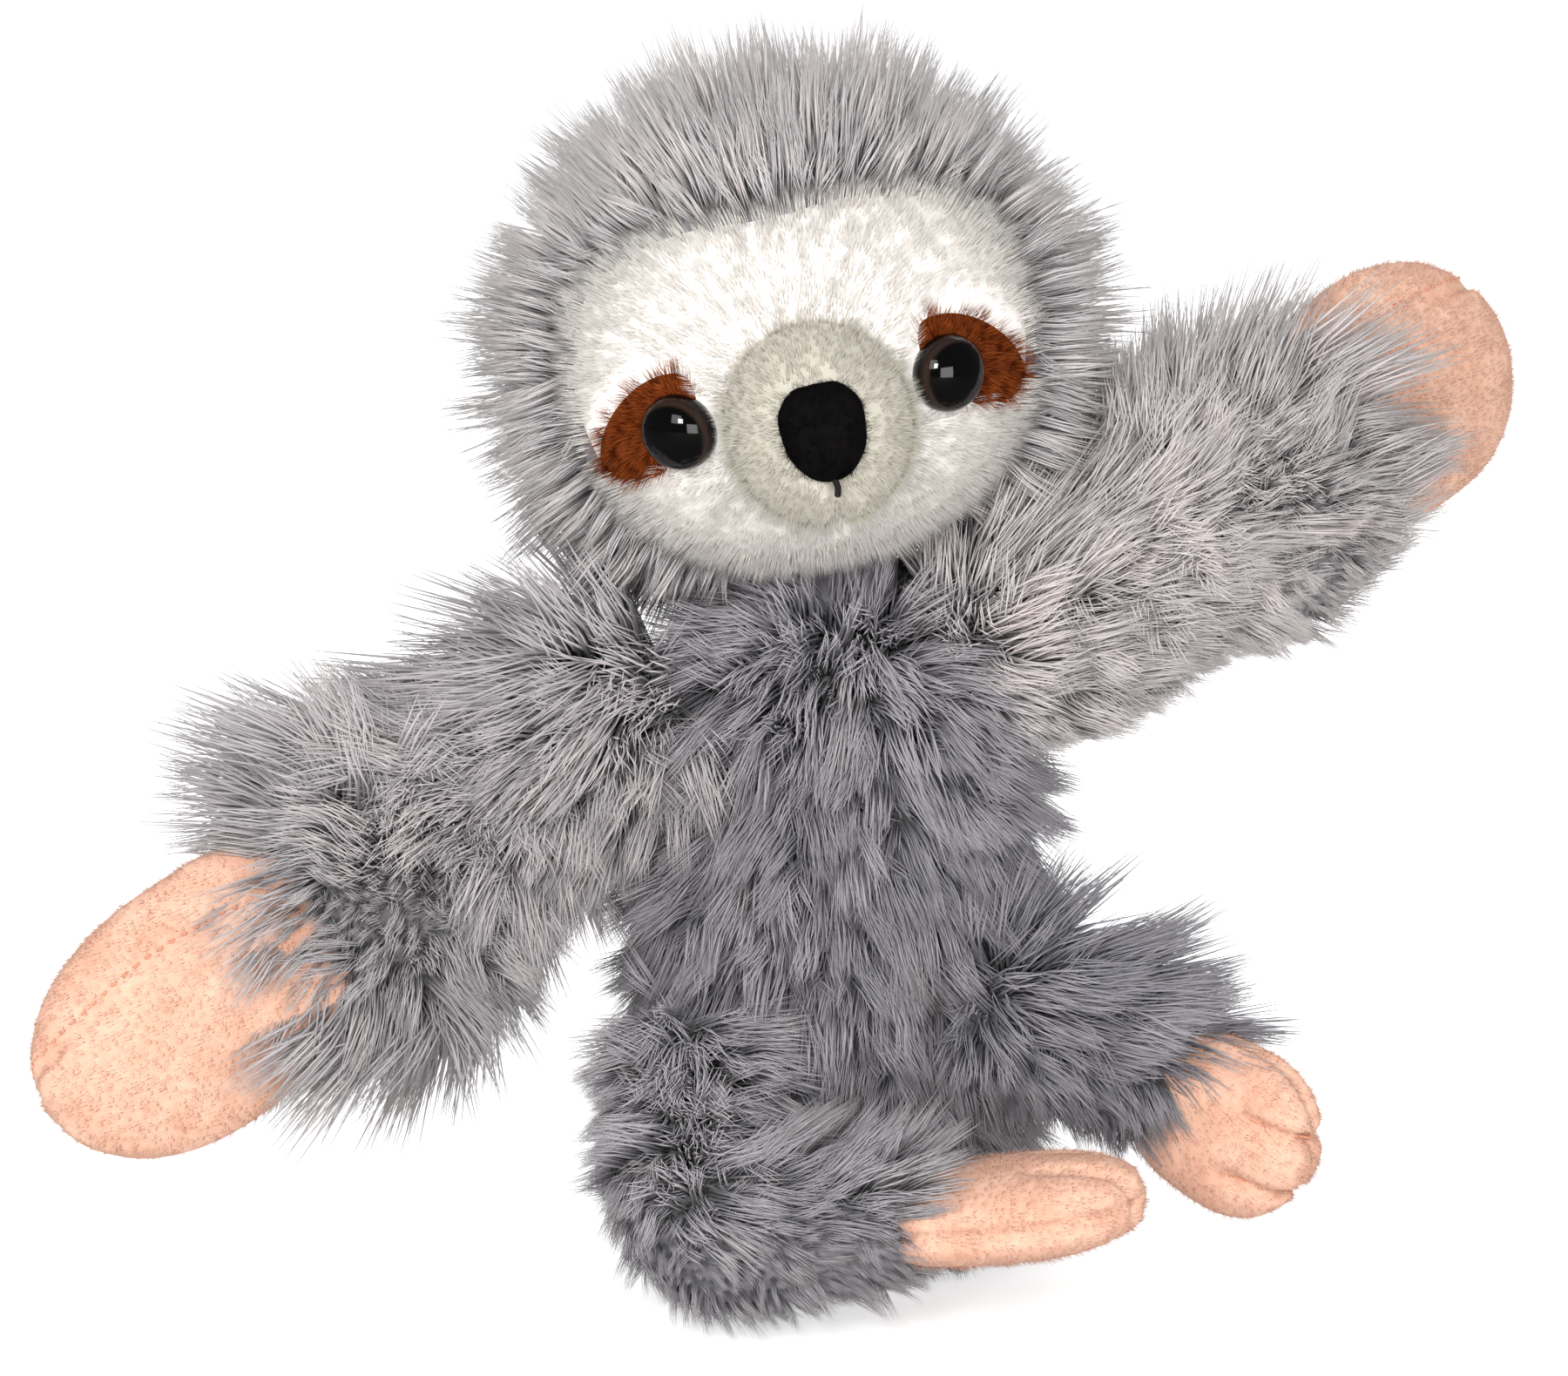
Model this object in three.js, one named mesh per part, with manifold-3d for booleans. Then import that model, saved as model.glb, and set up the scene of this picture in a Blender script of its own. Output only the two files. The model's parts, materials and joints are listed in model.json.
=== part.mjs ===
// Seated plush sloth with a spring band through both arms.
// Millimetres, +Z up, face towards -Y. Right and left are the sloth's own:
// the right arm reaches down and forward, the left arm is raised.

import * as THREE from 'three';
import { mergeVertices } from 'three/addons/utils/BufferGeometryUtils.js';
import Module from 'manifold-3d';

const wasm = await Module();
wasm.setup();

// Clearances
const GAP = 0.3;
const FLOOR_CUT = 0.5;
const SOCKET_SLACK = 2.4;

// Cloths
const LONG_PILE = 8;
const SHORT_NAP = 3;

// Torso
const TORSO_HEIGHT = 112;
const TORSO_HALF_WIDTH = 34;
const TORSO_HALF_DEPTH = 29;
const PELLET_FILL_HEIGHT = 22;
const TORSO_OUTLINE_SHARES = [
  [0, 0], [0.5, 0], [0.8, 0.03], [0.97, 0.14], [1, 0.3], [0.99, 0.5],
  [0.95, 0.68], [0.84, 0.83], [0.6, 0.945], [0.3, 0.99], [0, 1],
];

// Neck
const NECK_RADIUS = 9;
const NECK_SIDE = 1;
const NECK_FORWARD = 3;
const NECK_PLACE = [NECK_SIDE, -NECK_FORWARD, TORSO_HEIGHT];

// Head
const HEAD_HALF_WIDTH = 38;
const HEAD_HALF_DEPTH = 33;
const HEAD_HALF_HEIGHT = 33;
const HEAD_CROWN_PILE = 11;
const HEAD_CHIN_PILE = 2;
const HEAD_RISE = 37.5;
const HEAD_FORWARD = 3;
const HEAD_ROLL = -12;
const HEAD_YAW = 3.5;
const FACE_REACH = 2 * HEAD_HALF_DEPTH;

// Face, seen from the front, about the middle of the head
const FACE_HALF_WIDTH = 35.5;
const FACE_TOP = 24.5;
const FACE_BOTTOM = 31;
const FACE_OUTLINE_SHARES = [
  [0, 1], [0.5, 0.98], [0.86, 0.72], [1, 0.2], [0.97, -0.25], [0.8, -0.68], [0.42, -0.95],
];

// Muzzle, nose and mouth
const MUZZLE_HALF_WIDTH = 15;
const MUZZLE_HALF_HEIGHT = 16.3;
const MUZZLE_REACH = 14;
const MUZZLE_DROP = 6.5;
const NOSE_HALF_WIDTH = 6.4;
const NOSE_TOP = 7;
const NOSE_BOTTOM = 7.6;
const NOSE_RISE = 1.5;
const NOSE_THICKNESS = 1.8;
const NOSE_SIDE_SHARE = 0.33;
const NOSE_FLAT_SHARE = 0.5;
const MOUTH_LENGTH = 5;
const THREAD_RADIUS = 0.45;

// Safety eyes and the patches round them
const EYE_SPACING = 39.8;
const EYE_RISE = -3.6;
const EYE_RADIUS = 6;
const EYE_DOME = 4.6;
const EYE_FLANGE = 1.2;
const EYE_STAND_OFF = 0.9;
const EYE_SHANK_RADIUS = 2.2;
const EYE_SHANK_LENGTH = 13;
const WASHER_RADIUS = 7.5;
const WASHER_THICKNESS = 1.6;
const WASHER_DEPTH = 3;
const PATCH_LONG = 12;
const PATCH_WIDE = 8;
const PATCH_OUT = 4;
const PATCH_DROP = 1.5;
const PATCH_SLANT = 37;

// Arms: joints at shoulder, elbow and wrist, all hinged across the band
const ARM_ROOT_RADIUS = 17;
const ELBOW_SHARE = 0.91;
const CUFF_SHARE = 0.88;
const ELBOW_RADIUS = ELBOW_SHARE * ARM_ROOT_RADIUS;
const CUFF_RADIUS = CUFF_SHARE * ARM_ROOT_RADIUS;
const WRIST_RADIUS = 8.5;
const UPPER_ARM_LENGTH = 26;
const FOREARM_LENGTH = 26;
const ARM_BREADTH_SHARE = 1.28;
const TUBE_SHARE = 0.88;
const RIM_SHARE = 0.35;
const RIGHT_ARM = { side: -1, height: 88, forward: 3, slope: -31, bends: [15, 7, -12] };
const LEFT_ARM = { side: 1, height: 97, forward: 2, slope: 31, bends: [-4, -6, -38] };

// Mitts: hands and feet are the same flattened form, as shares of length and half width
const MITT_OUTLINE_SHARES = [
  [0.02, 0], [0.03, 0.5], [0.12, 0.8], [0.35, 0.96], [0.6, 1], [0.83, 0.82], [0.95, 0.5], [1, 0],
];
const MITT_MIDDLE_SHARE = 0.5;

// Hands
const HAND_LENGTH = 56;
const HAND_HALF_WIDTH = 19;
const HAND_HALF_THICKNESS = 7.5;

// Spring band
const BAND_SHARE = 0.76;
const BAND_WIDTH = BAND_SHARE * ARM_ROOT_RADIUS;
const BAND_THICKNESS = 0.5;
const BAND_CROWN = 1.2;
const BAND_SET_BACK = 0.8;
const BAND_END_ROOM = 3;
const BAND_ROOT_SHARE = 0.2;
const HAND_BAND_SHARES = [0.3, 0.66];
const CHEST_BAND_DROP = 9;

// Legs and feet, places in the torso's frame
const LEG_ROOT_RADIUS = 16.5;
const RIGHT_KNEE_RADIUS = 17.5;
const ANKLE_RADIUS = 15;
const RIGHT_LEG = {
  points: [[-24, -19, 33], [-20, -41, RIGHT_KNEE_RADIUS - FLOOR_CUT], [6, -46, 18]],
  radii: [LEG_ROOT_RADIUS, RIGHT_KNEE_RADIUS, ANKLE_RADIUS],
  toe: [47, -49, 24], level: true, footLength: 40, footHalfWidth: 13.5, swings: [0, 15, 30],
};
const LEFT_LEG = {
  points: [[29, -14, 42], [50, -19, 33]],
  radii: [LEG_ROOT_RADIUS, ANKLE_RADIUS],
  toe: [74, -34, 23], level: false, footLength: 31, footHalfWidth: 14, swings: [-10, 5, 20],
};
const FOOT_HALF_THICKNESS = 7.5;
const FOOT_ROOT_SHARE = 0.5;
const TOE_GROOVE_RADIUS = 1.3;
const TOE_SPACING_SHARE = 0.36;
const TOE_REACH_SHARE = 0.42;

// Facets
const ROUND_STEPS = 14;
const FINE_STEPS = 18;
const SMALL_STEPS = 8;
const INNER_STEPS = 10;
const MIDDLE_STEPS = 12;
const RISE_STEPS = 10;
const NOSE_STEPS = 5;
const DOME_STEPS = 5;
const THREAD_SIDES = 4;
const THREAD_STEPS = 6;

// Finishes
const finish = (color, roughness, metalness = 0) =>
  new THREE.MeshStandardMaterial({ color, roughness, metalness });
const LONG_PLUSH = finish(0x9a999d, 0.95);
const WHITE_PLUSH = finish(0xf0ece6, 0.95);
const MUZZLE_PLUSH = finish(0xb4b0a2, 0.95);
const BROWN_PLUSH = finish(0x7c421f, 0.95);
const PEACH_VELOUR = finish(0xf2c4a6, 0.9);
const NOSE_FELT = finish(0x121110, 0.9);
const EYE_PLASTIC = finish(0x140b07, 0.08);
const WASHER_PLASTIC = finish(0xe8e8e4, 0.5);
const FIBRE_FILL = finish(0xf4f3ef, 1);
const PELLET_CLOTH = finish(0xd9d6cd, 0.9);
const SPRING_STEEL = finish(0xb8bcc0, 0.3, 1);
const PEACH_THREAD = finish(0xd99b78, 0.8);
const BLACK_THREAD = finish(0x151413, 0.8);

const radians = THREE.MathUtils.degToRad;
const at = (x, y, z) => new THREE.Matrix4().makeTranslation(x, y, z);
const turnZ = (degrees) => new THREE.Matrix4().makeRotationZ(radians(degrees));
const vector = (list) => new THREE.Vector3(...list);

// A closed geometry as a solid, without the empty triangles at its poles
function toSolid(geometry) {
  geometry.deleteAttribute('normal');
  geometry.deleteAttribute('uv');
  const merged = mergeVertices(geometry);
  const corners = merged.index.array;
  const kept = [];
  for (let i = 0; i < corners.length; i += 3) {
    const [a, b, c] = [corners[i], corners[i + 1], corners[i + 2]];
    if (a !== b && b !== c && c !== a) kept.push(a, b, c);
  }
  return new wasm.Manifold(new wasm.Mesh({
    numProp: 3,
    vertProperties: merged.attributes.position.array,
    triVerts: Uint32Array.from(kept),
  }));
}

// The largest single body of a solid, as a named mesh
function toMesh(name, solid, material) {
  const bodies = solid.decompose().sort((one, two) => two.volume() - one.volume());
  const { vertProperties, triVerts } = bodies[0].getMesh();
  const geometry = new THREE.BufferGeometry();
  geometry.setAttribute('position', new THREE.BufferAttribute(vertProperties, 3));
  geometry.setIndex(new THREE.BufferAttribute(triVerts, 1));
  const mesh = new THREE.Mesh(geometry, material);
  mesh.name = name;
  return mesh;
}

// A smooth profile of radius and height through its points, from axis to axis
function smoothProfile(points, steps) {
  const curve = new THREE.SplineCurve(points.map(([r, h]) => new THREE.Vector2(r, h)));
  const profile = curve.getPoints(steps).map((p) => new THREE.Vector2(Math.max(p.x, 0), p.y));
  profile[0].x = 0;
  profile[steps].x = 0;
  return profile;
}

// An ellipsoid in a frame given by a matrix
function ellipsoid(halfX, halfY, halfZ, place = new THREE.Matrix4(), steps = ROUND_STEPS) {
  const geometry = new THREE.SphereGeometry(1, steps, steps / 2);
  geometry.rotateX(Math.PI / 2);
  geometry.scale(halfX, halfY, halfZ);
  geometry.applyMatrix4(place);
  return toSolid(geometry);
}

// A box between two corners
function block(low, high) {
  const size = vector(high).sub(vector(low));
  const geometry = new THREE.BoxGeometry(size.x, size.y, size.z);
  geometry.translate(low[0] + size.x / 2, low[1] + size.y / 2, low[2] + size.z / 2);
  return toSolid(geometry);
}

// A form turned round the X axis of its frame, with its breadth along Z scaled
function turnedAlongX(profile, depthShare, breadthShare, steps = ROUND_STEPS) {
  const geometry = new THREE.LatheGeometry(profile, steps);
  geometry.rotateZ(-Math.PI / 2);
  geometry.scale(1, depthShare, breadthShare);
  return toSolid(geometry);
}

// An outline in the XZ plane, extruded along Y between two depths
function outlineSolid(points, nearY, farY) {
  const shape = new THREE.Shape(points.map(([x, z]) => new THREE.Vector2(x, z)));
  const geometry = new THREE.ExtrudeGeometry(shape, {
    depth: farY - nearY, bevelEnabled: false, steps: 1,
  });
  geometry.rotateX(Math.PI / 2);
  geometry.translate(0, farY, 0);
  return toSolid(geometry);
}

// A thread along a path
function threadSolid(points, radius, steps) {
  const section = new THREE.Shape();
  section.absarc(0, 0, radius, 0, 2 * Math.PI);
  const path = new THREE.CatmullRomCurve3(points.map(vector));
  return toSolid(new THREE.ExtrudeGeometry(section, {
    extrudePath: path, steps, curveSegments: THREAD_SIDES / 2, bevelEnabled: false,
  }));
}

// The torso's pear shape, grown or shrunk all over
function torsoForm(grow, steps = FINE_STEPS) {
  const halfWidth = TORSO_HALF_WIDTH + grow;
  const low = -FLOOR_CUT - grow;
  const height = TORSO_HEIGHT + FLOOR_CUT + 2 * grow;
  const points = TORSO_OUTLINE_SHARES.map(([wide, high]) => [wide * halfWidth, low + high * height]);
  const geometry = new THREE.LatheGeometry(smoothProfile(points, RISE_STEPS), steps);
  geometry.rotateX(Math.PI / 2);
  geometry.scale(1, (TORSO_HALF_DEPTH + grow) / halfWidth, 1);
  return toSolid(geometry);
}

// Half the torso's width at a height
function torsoHalfWidthAt(height) {
  const points = TORSO_OUTLINE_SHARES.map(([wide, high]) =>
    [wide * TORSO_HALF_WIDTH, high * TORSO_HEIGHT]);
  const above = points.findIndex(([, high]) => high > height);
  const [lowWidth, lowHeight] = points[above - 1];
  const [highWidth, highHeight] = points[above];
  const share = (height - lowHeight) / (highHeight - lowHeight);
  return lowWidth + share * (highWidth - lowWidth);
}

// Everything above the floor
function aboveFloor(solid) {
  const reach = 2 * TORSO_HEIGHT;
  return solid.subtract(block([-reach, -reach, -reach], [reach, reach, 0]));
}

// The room round a faceted ball that turns in a socket
const turningRoom = (radius) => GAP + SOCKET_SLACK * radius * (1 - Math.cos(Math.PI / ROUND_STEPS));

// Arm frames: X out along the arm, Y to the fold side, Z along the hinges

// The frame of a shoulder, before its own bend
function shoulderFrame(arm) {
  const slope = radians(arm.slope);
  const out = new THREE.Vector3(arm.side * Math.cos(slope), 0, Math.sin(slope));
  const fold = new THREE.Vector3(0, -1, 0);
  const hinge = new THREE.Vector3().crossVectors(out, fold);
  const standOff = RIM_SHARE * ARM_ROOT_RADIUS;
  const start = new THREE.Vector3(arm.side * torsoHalfWidthAt(arm.height), -arm.forward, arm.height);
  return new THREE.Matrix4().makeBasis(out, fold, hinge).setPosition(start.addScaledVector(out, standOff));
}

// The ball that a limb turns on at an arm joint
function armBall(radius, grow, place, steps = ROUND_STEPS) {
  const breadth = radius * ARM_BREADTH_SHARE + grow;
  return ellipsoid(radius + grow, radius + grow, breadth, place, steps);
}

// One length of arm: a ball at its root, a swelling tube, a flat end behind the next joint
function armForm(sizes, grow, endRoom) {
  const { rootRadius, endRadius, length, nextRadius } = sizes;
  const root = rootRadius + grow;
  const join = Math.asin(TUBE_SHARE);
  const last = length - RIM_SHARE * nextRadius;
  const profile = [];
  const ballSteps = SMALL_STEPS / 2;
  for (let i = 0; i <= ballSteps; i += 1) {
    const angle = Math.PI + (join - Math.PI) * (i / ballSteps);
    profile.push(new THREE.Vector2(root * Math.sin(angle), root * Math.cos(angle)));
  }
  profile[0].x = 0;
  const swell = (TUBE_SHARE * rootRadius + endRadius) / 2 + grow;
  profile.push(new THREE.Vector2(swell, (root * Math.cos(join) + last) / 2));
  profile.push(new THREE.Vector2(endRadius + grow, last));
  if (endRoom > 0) profile.push(new THREE.Vector2(endRadius + grow, last + endRoom));
  profile.push(new THREE.Vector2(0, last + endRoom));
  const breadth = (rootRadius * ARM_BREADTH_SHARE + grow) / root;
  return turnedAlongX(profile, 1, breadth, grow < 0 ? INNER_STEPS : ROUND_STEPS);
}

// A stretch of the spring band, crowned across its width, in an arm's frame
function bandSolid(from, to, grow = 0) {
  const half = BAND_WIDTH / 2 + grow;
  const thick = BAND_THICKNESS + 2 * grow;
  const shape = new THREE.Shape();
  shape.moveTo(-half, -grow);
  shape.quadraticCurveTo(0, -grow + 2 * BAND_CROWN, half, -grow);
  shape.lineTo(half, thick - grow);
  shape.quadraticCurveTo(0, thick - grow + 2 * BAND_CROWN, -half, thick - grow);
  shape.closePath();
  const geometry = new THREE.ExtrudeGeometry(shape, {
    depth: to - from + 2 * grow, bevelEnabled: false, curveSegments: THREAD_SIDES,
  });
  geometry.rotateY(Math.PI / 2);
  geometry.translate(from - grow, -BAND_SET_BACK - BAND_CROWN, 0);
  return toSolid(geometry);
}

// Skin, filling and band of one length of arm
function armLength(name, sizes) {
  const { rootRadius, length, nextRadius } = sizes;
  const nextPlace = at(length, 0, 0);
  const room = turningRoom(nextRadius);
  const socket = armBall(nextRadius, room, nextPlace);
  const hollow = armForm(sizes, -LONG_PILE, length);
  const skin = armForm(sizes, 0, 0).subtract(hollow).subtract(socket);
  const bandStart = (LONG_PILE - rootRadius) * BAND_ROOT_SHARE;
  const bandEnd = length - nextRadius - BAND_END_ROOM;
  const filling = armForm(sizes, -LONG_PILE - GAP, 0)
    .subtract(armBall(nextRadius, room + GAP, nextPlace))
    .subtract(bandSolid(bandStart, length, GAP));
  return [
    toMesh(`${name}_skin`, skin, LONG_PLUSH),
    toMesh(`${name}_filling`, filling, FIBRE_FILL),
    toMesh(`${name}_band`, bandSolid(bandStart, bandEnd), SPRING_STEEL),
  ];
}

// Points of a mitt's outline, grown: distance along it and half its width there
function mittOutline(size, grow) {
  return MITT_OUTLINE_SHARES.map(([along, wide]) => [
    along * size.length + (grow * (along - MITT_MIDDLE_SHARE)) / MITT_MIDDLE_SHARE,
    wide * size.halfWidth + (wide > 0 ? grow : 0),
  ]);
}

// The mitt with its root ball
function mittForm(size, grow) {
  const points = mittOutline(size, grow).map(([along, wide]) => [wide, along]);
  const depthShare = (size.halfThickness + grow) / (size.halfWidth + grow);
  const pad = turnedAlongX(smoothProfile(points, RISE_STEPS), depthShare, 1, MIDDLE_STEPS);
  const root = ellipsoid(size.rootRadius + grow, size.rootRadius + grow,
    size.rootBreadth + grow, new THREE.Matrix4(), INNER_STEPS);
  return pad.add(root);
}

// Two velour halves and the seam thread that lies between them, as solids
function mittSolids(size) {
  const seamRoom = THREAD_RADIUS + GAP;
  const reach = 2 * size.length;
  const front = block([-reach, -reach, -reach], [reach, seamRoom, reach]);
  const back = block([-reach, -seamRoom, -reach], [reach, reach, reach]);
  const shell = mittForm(size, 0).subtract(mittForm(size, -SHORT_NAP));
  const edge = mittOutline(size, -SHORT_NAP / 2).filter(([, wide]) => wide > 0).slice(1);
  const oneSide = edge.map(([along, wide]) => [along, 0, wide]);
  const otherSide = edge.map(([along, wide]) => [along, 0, -wide]).reverse();
  const tip = [size.length - SHORT_NAP / 2, 0, 0];
  return {
    outer: shell.subtract(front),
    inner: shell.subtract(back),
    thread: threadSolid([...oneSide, tip, ...otherSide], THREAD_RADIUS, FINE_STEPS),
  };
}

// Sizes of a hand
const HAND = {
  length: HAND_LENGTH, halfWidth: HAND_HALF_WIDTH, halfThickness: HAND_HALF_THICKNESS,
  rootRadius: WRIST_RADIUS, rootBreadth: WRIST_RADIUS * ARM_BREADTH_SHARE,
};

// A hand with the end of the band inside it
function handPieces(name) {
  const [start, end] = HAND_BAND_SHARES.map((share) => share * HAND_LENGTH);
  const slot = bandSolid(-2 * WRIST_RADIUS, end, GAP);
  const filling = mittForm(HAND, -SHORT_NAP - GAP).subtract(slot);
  const { outer, inner, thread } = mittSolids(HAND);
  return [
    toMesh(`${name}_palm`, outer, PEACH_VELOUR),
    toMesh(`${name}_back`, inner, PEACH_VELOUR),
    toMesh(`${name}_seam_thread`, thread, PEACH_THREAD),
    toMesh(`${name}_filling`, filling, FIBRE_FILL),
    toMesh(`${name}_band`, bandSolid(start, end), SPRING_STEEL),
  ];
}

// A whole arm as nested joints
function armGroup(name, arm) {
  const shoulder = new THREE.Group();
  shoulder.name = `${name}_shoulder`;
  shoulder.applyMatrix4(shoulderFrame(arm).multiply(turnZ(arm.bends[0])));
  shoulder.add(...armLength(`${name}_upper_arm`, {
    rootRadius: ARM_ROOT_RADIUS, endRadius: ELBOW_RADIUS, length: UPPER_ARM_LENGTH,
    nextRadius: ELBOW_RADIUS,
  }));
  const elbow = new THREE.Group();
  elbow.name = `${name}_elbow`;
  elbow.position.x = UPPER_ARM_LENGTH;
  elbow.rotation.z = radians(arm.bends[1]);
  elbow.add(...armLength(`${name}_forearm`, {
    rootRadius: ELBOW_RADIUS, endRadius: CUFF_RADIUS, length: FOREARM_LENGTH,
    nextRadius: WRIST_RADIUS,
  }));
  shoulder.add(elbow);
  const wrist = new THREE.Group();
  wrist.name = `${name}_wrist`;
  wrist.position.x = FOREARM_LENGTH;
  wrist.rotation.z = radians(arm.bends[2]);
  wrist.add(...handPieces(`${name}_hand`));
  elbow.add(wrist);
  return shoulder;
}

// Legs

// A round-ended length between two points, with a radius at each
function roundedLength(from, to, fromRadius, toRadius) {
  const span = vector(to).sub(vector(from));
  const length = span.length();
  const profile = [];
  const quarter = SMALL_STEPS / 2;
  for (let i = 0; i <= quarter; i += 1) {
    const angle = (Math.PI / 2) * (i / quarter);
    profile.push(new THREE.Vector2(fromRadius * Math.sin(angle), -fromRadius * Math.cos(angle)));
  }
  for (let i = 0; i <= quarter; i += 1) {
    const angle = (Math.PI / 2) * (i / quarter);
    profile.push(new THREE.Vector2(toRadius * Math.cos(angle), length + toRadius * Math.sin(angle)));
  }
  profile[0].x = 0;
  profile[profile.length - 1].x = 0;
  const geometry = new THREE.LatheGeometry(profile, MIDDLE_STEPS);
  const turn = new THREE.Quaternion().setFromUnitVectors(new THREE.Vector3(0, 1, 0), span.normalize());
  geometry.applyQuaternion(turn);
  geometry.translate(...from);
  return toSolid(geometry);
}

// The form of a leg: round-ended lengths through its points
function legForm(leg, grow) {
  const lengths = leg.points.slice(1).map((to, i) => {
    const start = (i > 0 ? TUBE_SHARE : 1) * leg.radii[i] + grow;
    return roundedLength(leg.points[i], to, start, leg.radii[i + 1] + grow);
  });
  return lengths.reduce((whole, length) => whole.add(length));
}

// Where a foot sits: X from ankle to toe; Z across it, level on the right foot, upright on the left
function footFrame(leg) {
  const along = vector(leg.toe).sub(vector(leg.points.at(-1))).normalize();
  const up = new THREE.Vector3(0, 0, 1);
  const level = new THREE.Vector3().crossVectors(up, along).normalize();
  const upright = new THREE.Vector3().crossVectors(along, level).normalize();
  const across = leg.level ? level : upright;
  const through = new THREE.Vector3().crossVectors(across, along);
  const start = vector(leg.toe).addScaledVector(along, -leg.footLength);
  return new THREE.Matrix4().makeBasis(along, through, across).setPosition(start);
}

// Sizes of a foot
const footSize = (leg) => ({
  length: leg.footLength, halfWidth: leg.footHalfWidth, halfThickness: FOOT_HALF_THICKNESS,
  rootRadius: FOOT_HALF_THICKNESS, rootBreadth: leg.footHalfWidth * FOOT_ROOT_SHARE,
});

// A thread pulled round the toe end, its place across the foot given
function toeThreadPath(size, across) {
  const turn = size.length * (1 - TOE_REACH_SHARE);
  const height = size.halfThickness * TUBE_SHARE;
  const drawn = Math.sqrt(1 - (across / size.halfWidth) ** 2);
  const tip = turn + (size.length - turn) * drawn - TOE_GROOVE_RADIUS;
  return [
    [turn, height * drawn, across],
    [(turn + tip) / 2 + TOE_GROOVE_RADIUS, height * drawn * TUBE_SHARE, across],
    [tip, 0, across],
    [(turn + tip) / 2 + TOE_GROOVE_RADIUS, -height * drawn * TUBE_SHARE, across],
    [turn, -height * drawn, across],
  ];
}

// A foot's outside, which the leg's end fits round
const footOutside = (leg) => mittForm(footSize(leg), GAP).transform(footFrame(leg).elements);

// Foot halves, filling and toe threads
function footGroup(name, leg) {
  const size = footSize(leg);
  const spacing = TOE_SPACING_SHARE * size.halfWidth;
  const paths = [spacing, -spacing].map((across) => toeThreadPath(size, across));
  const grooves = paths.map((path) => threadSolid(path, TOE_GROOVE_RADIUS, THREAD_STEPS));
  const grooved = (solid) => grooves.reduce((rest, groove) => rest.subtract(groove), solid);
  const { outer, inner } = mittSolids(size);
  const group = new THREE.Group();
  group.applyMatrix4(footFrame(leg));
  group.add(
    toMesh(`${name}_top`, grooved(outer), PEACH_VELOUR),
    toMesh(`${name}_sole`, grooved(inner), PEACH_VELOUR),
    toMesh(`${name}_filling`, grooved(mittForm(size, -SHORT_NAP - GAP)), FIBRE_FILL),
  );
  paths.forEach((path, i) => group.add(
    toMesh(`${name}_toe_thread_${i + 1}`, threadSolid(path, THREAD_RADIUS, THREAD_STEPS), PEACH_THREAD)));
  return group;
}

// The torso as a leg meets it at each stage of its swing forward about the hip
function torsoRoundHip(leg, torsoOutside) {
  const hip = at(...leg.points[0]);
  return leg.swings.map((swing) => {
    const turn = hip.clone().multiply(turnZ(swing)).multiply(hip.clone().invert());
    return torsoOutside.transform(turn.elements);
  });
}

// A leg with its foot, cut clear of the torso through its swing and flat where it rests
function legGroup(name, leg, torsoOutside) {
  const group = new THREE.Group();
  group.name = `${name}_leg`;
  const rooms = [...torsoRoundHip(leg, torsoOutside), footOutside(leg)];
  const clear = (solid) => aboveFloor(rooms.reduce((rest, room) => rest.subtract(room), solid));
  const hollow = legForm(leg, -LONG_PILE);
  const skin = clear(legForm(leg, 0).subtract(hollow));
  const filling = clear(legForm(leg, -LONG_PILE - GAP));
  group.add(
    toMesh(`${name}_leg_skin`, skin, LONG_PLUSH),
    toMesh(`${name}_leg_filling`, filling, FIBRE_FILL),
    footGroup(`${name}_foot`, leg),
  );
  return group;
}

// Torso

// The balls that turn in the torso: arms, legs and neck
function torsoSockets(grow) {
  const armRoom = turningRoom(ARM_ROOT_RADIUS) + grow;
  const armBalls = [RIGHT_ARM, LEFT_ARM].map((arm) => armBall(ARM_ROOT_RADIUS, armRoom, shoulderFrame(arm)));
  const root = LEG_ROOT_RADIUS + turningRoom(LEG_ROOT_RADIUS) + grow;
  const legBalls = [RIGHT_LEG, LEFT_LEG].map((leg) => ellipsoid(root, root, root, at(...leg.points[0])));
  const neck = NECK_RADIUS + turningRoom(NECK_RADIUS) + grow;
  const neckBall = ellipsoid(neck, neck, neck, at(...NECK_PLACE), INNER_STEPS);
  return [...armBalls, ...legBalls, neckBall];
}

// The stretch of band across the chest, between the shoulders
function chestBandFrame() {
  const [right, left] = [RIGHT_ARM, LEFT_ARM].map((arm) =>
    new THREE.Vector3().setFromMatrixPosition(shoulderFrame(arm)));
  const along = left.clone().sub(right).normalize();
  const fold = new THREE.Vector3(0, -1, 0);
  const hinge = new THREE.Vector3().crossVectors(along, fold).normalize();
  fold.crossVectors(hinge, along);
  const middle = left.clone().add(right).divideScalar(2);
  middle.z -= CHEST_BAND_DROP;
  return { place: new THREE.Matrix4().makeBasis(along, fold, hinge).setPosition(middle),
    half: left.distanceTo(right) / 2 - ARM_ROOT_RADIUS - 2 * BAND_END_ROOM };
}

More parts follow.
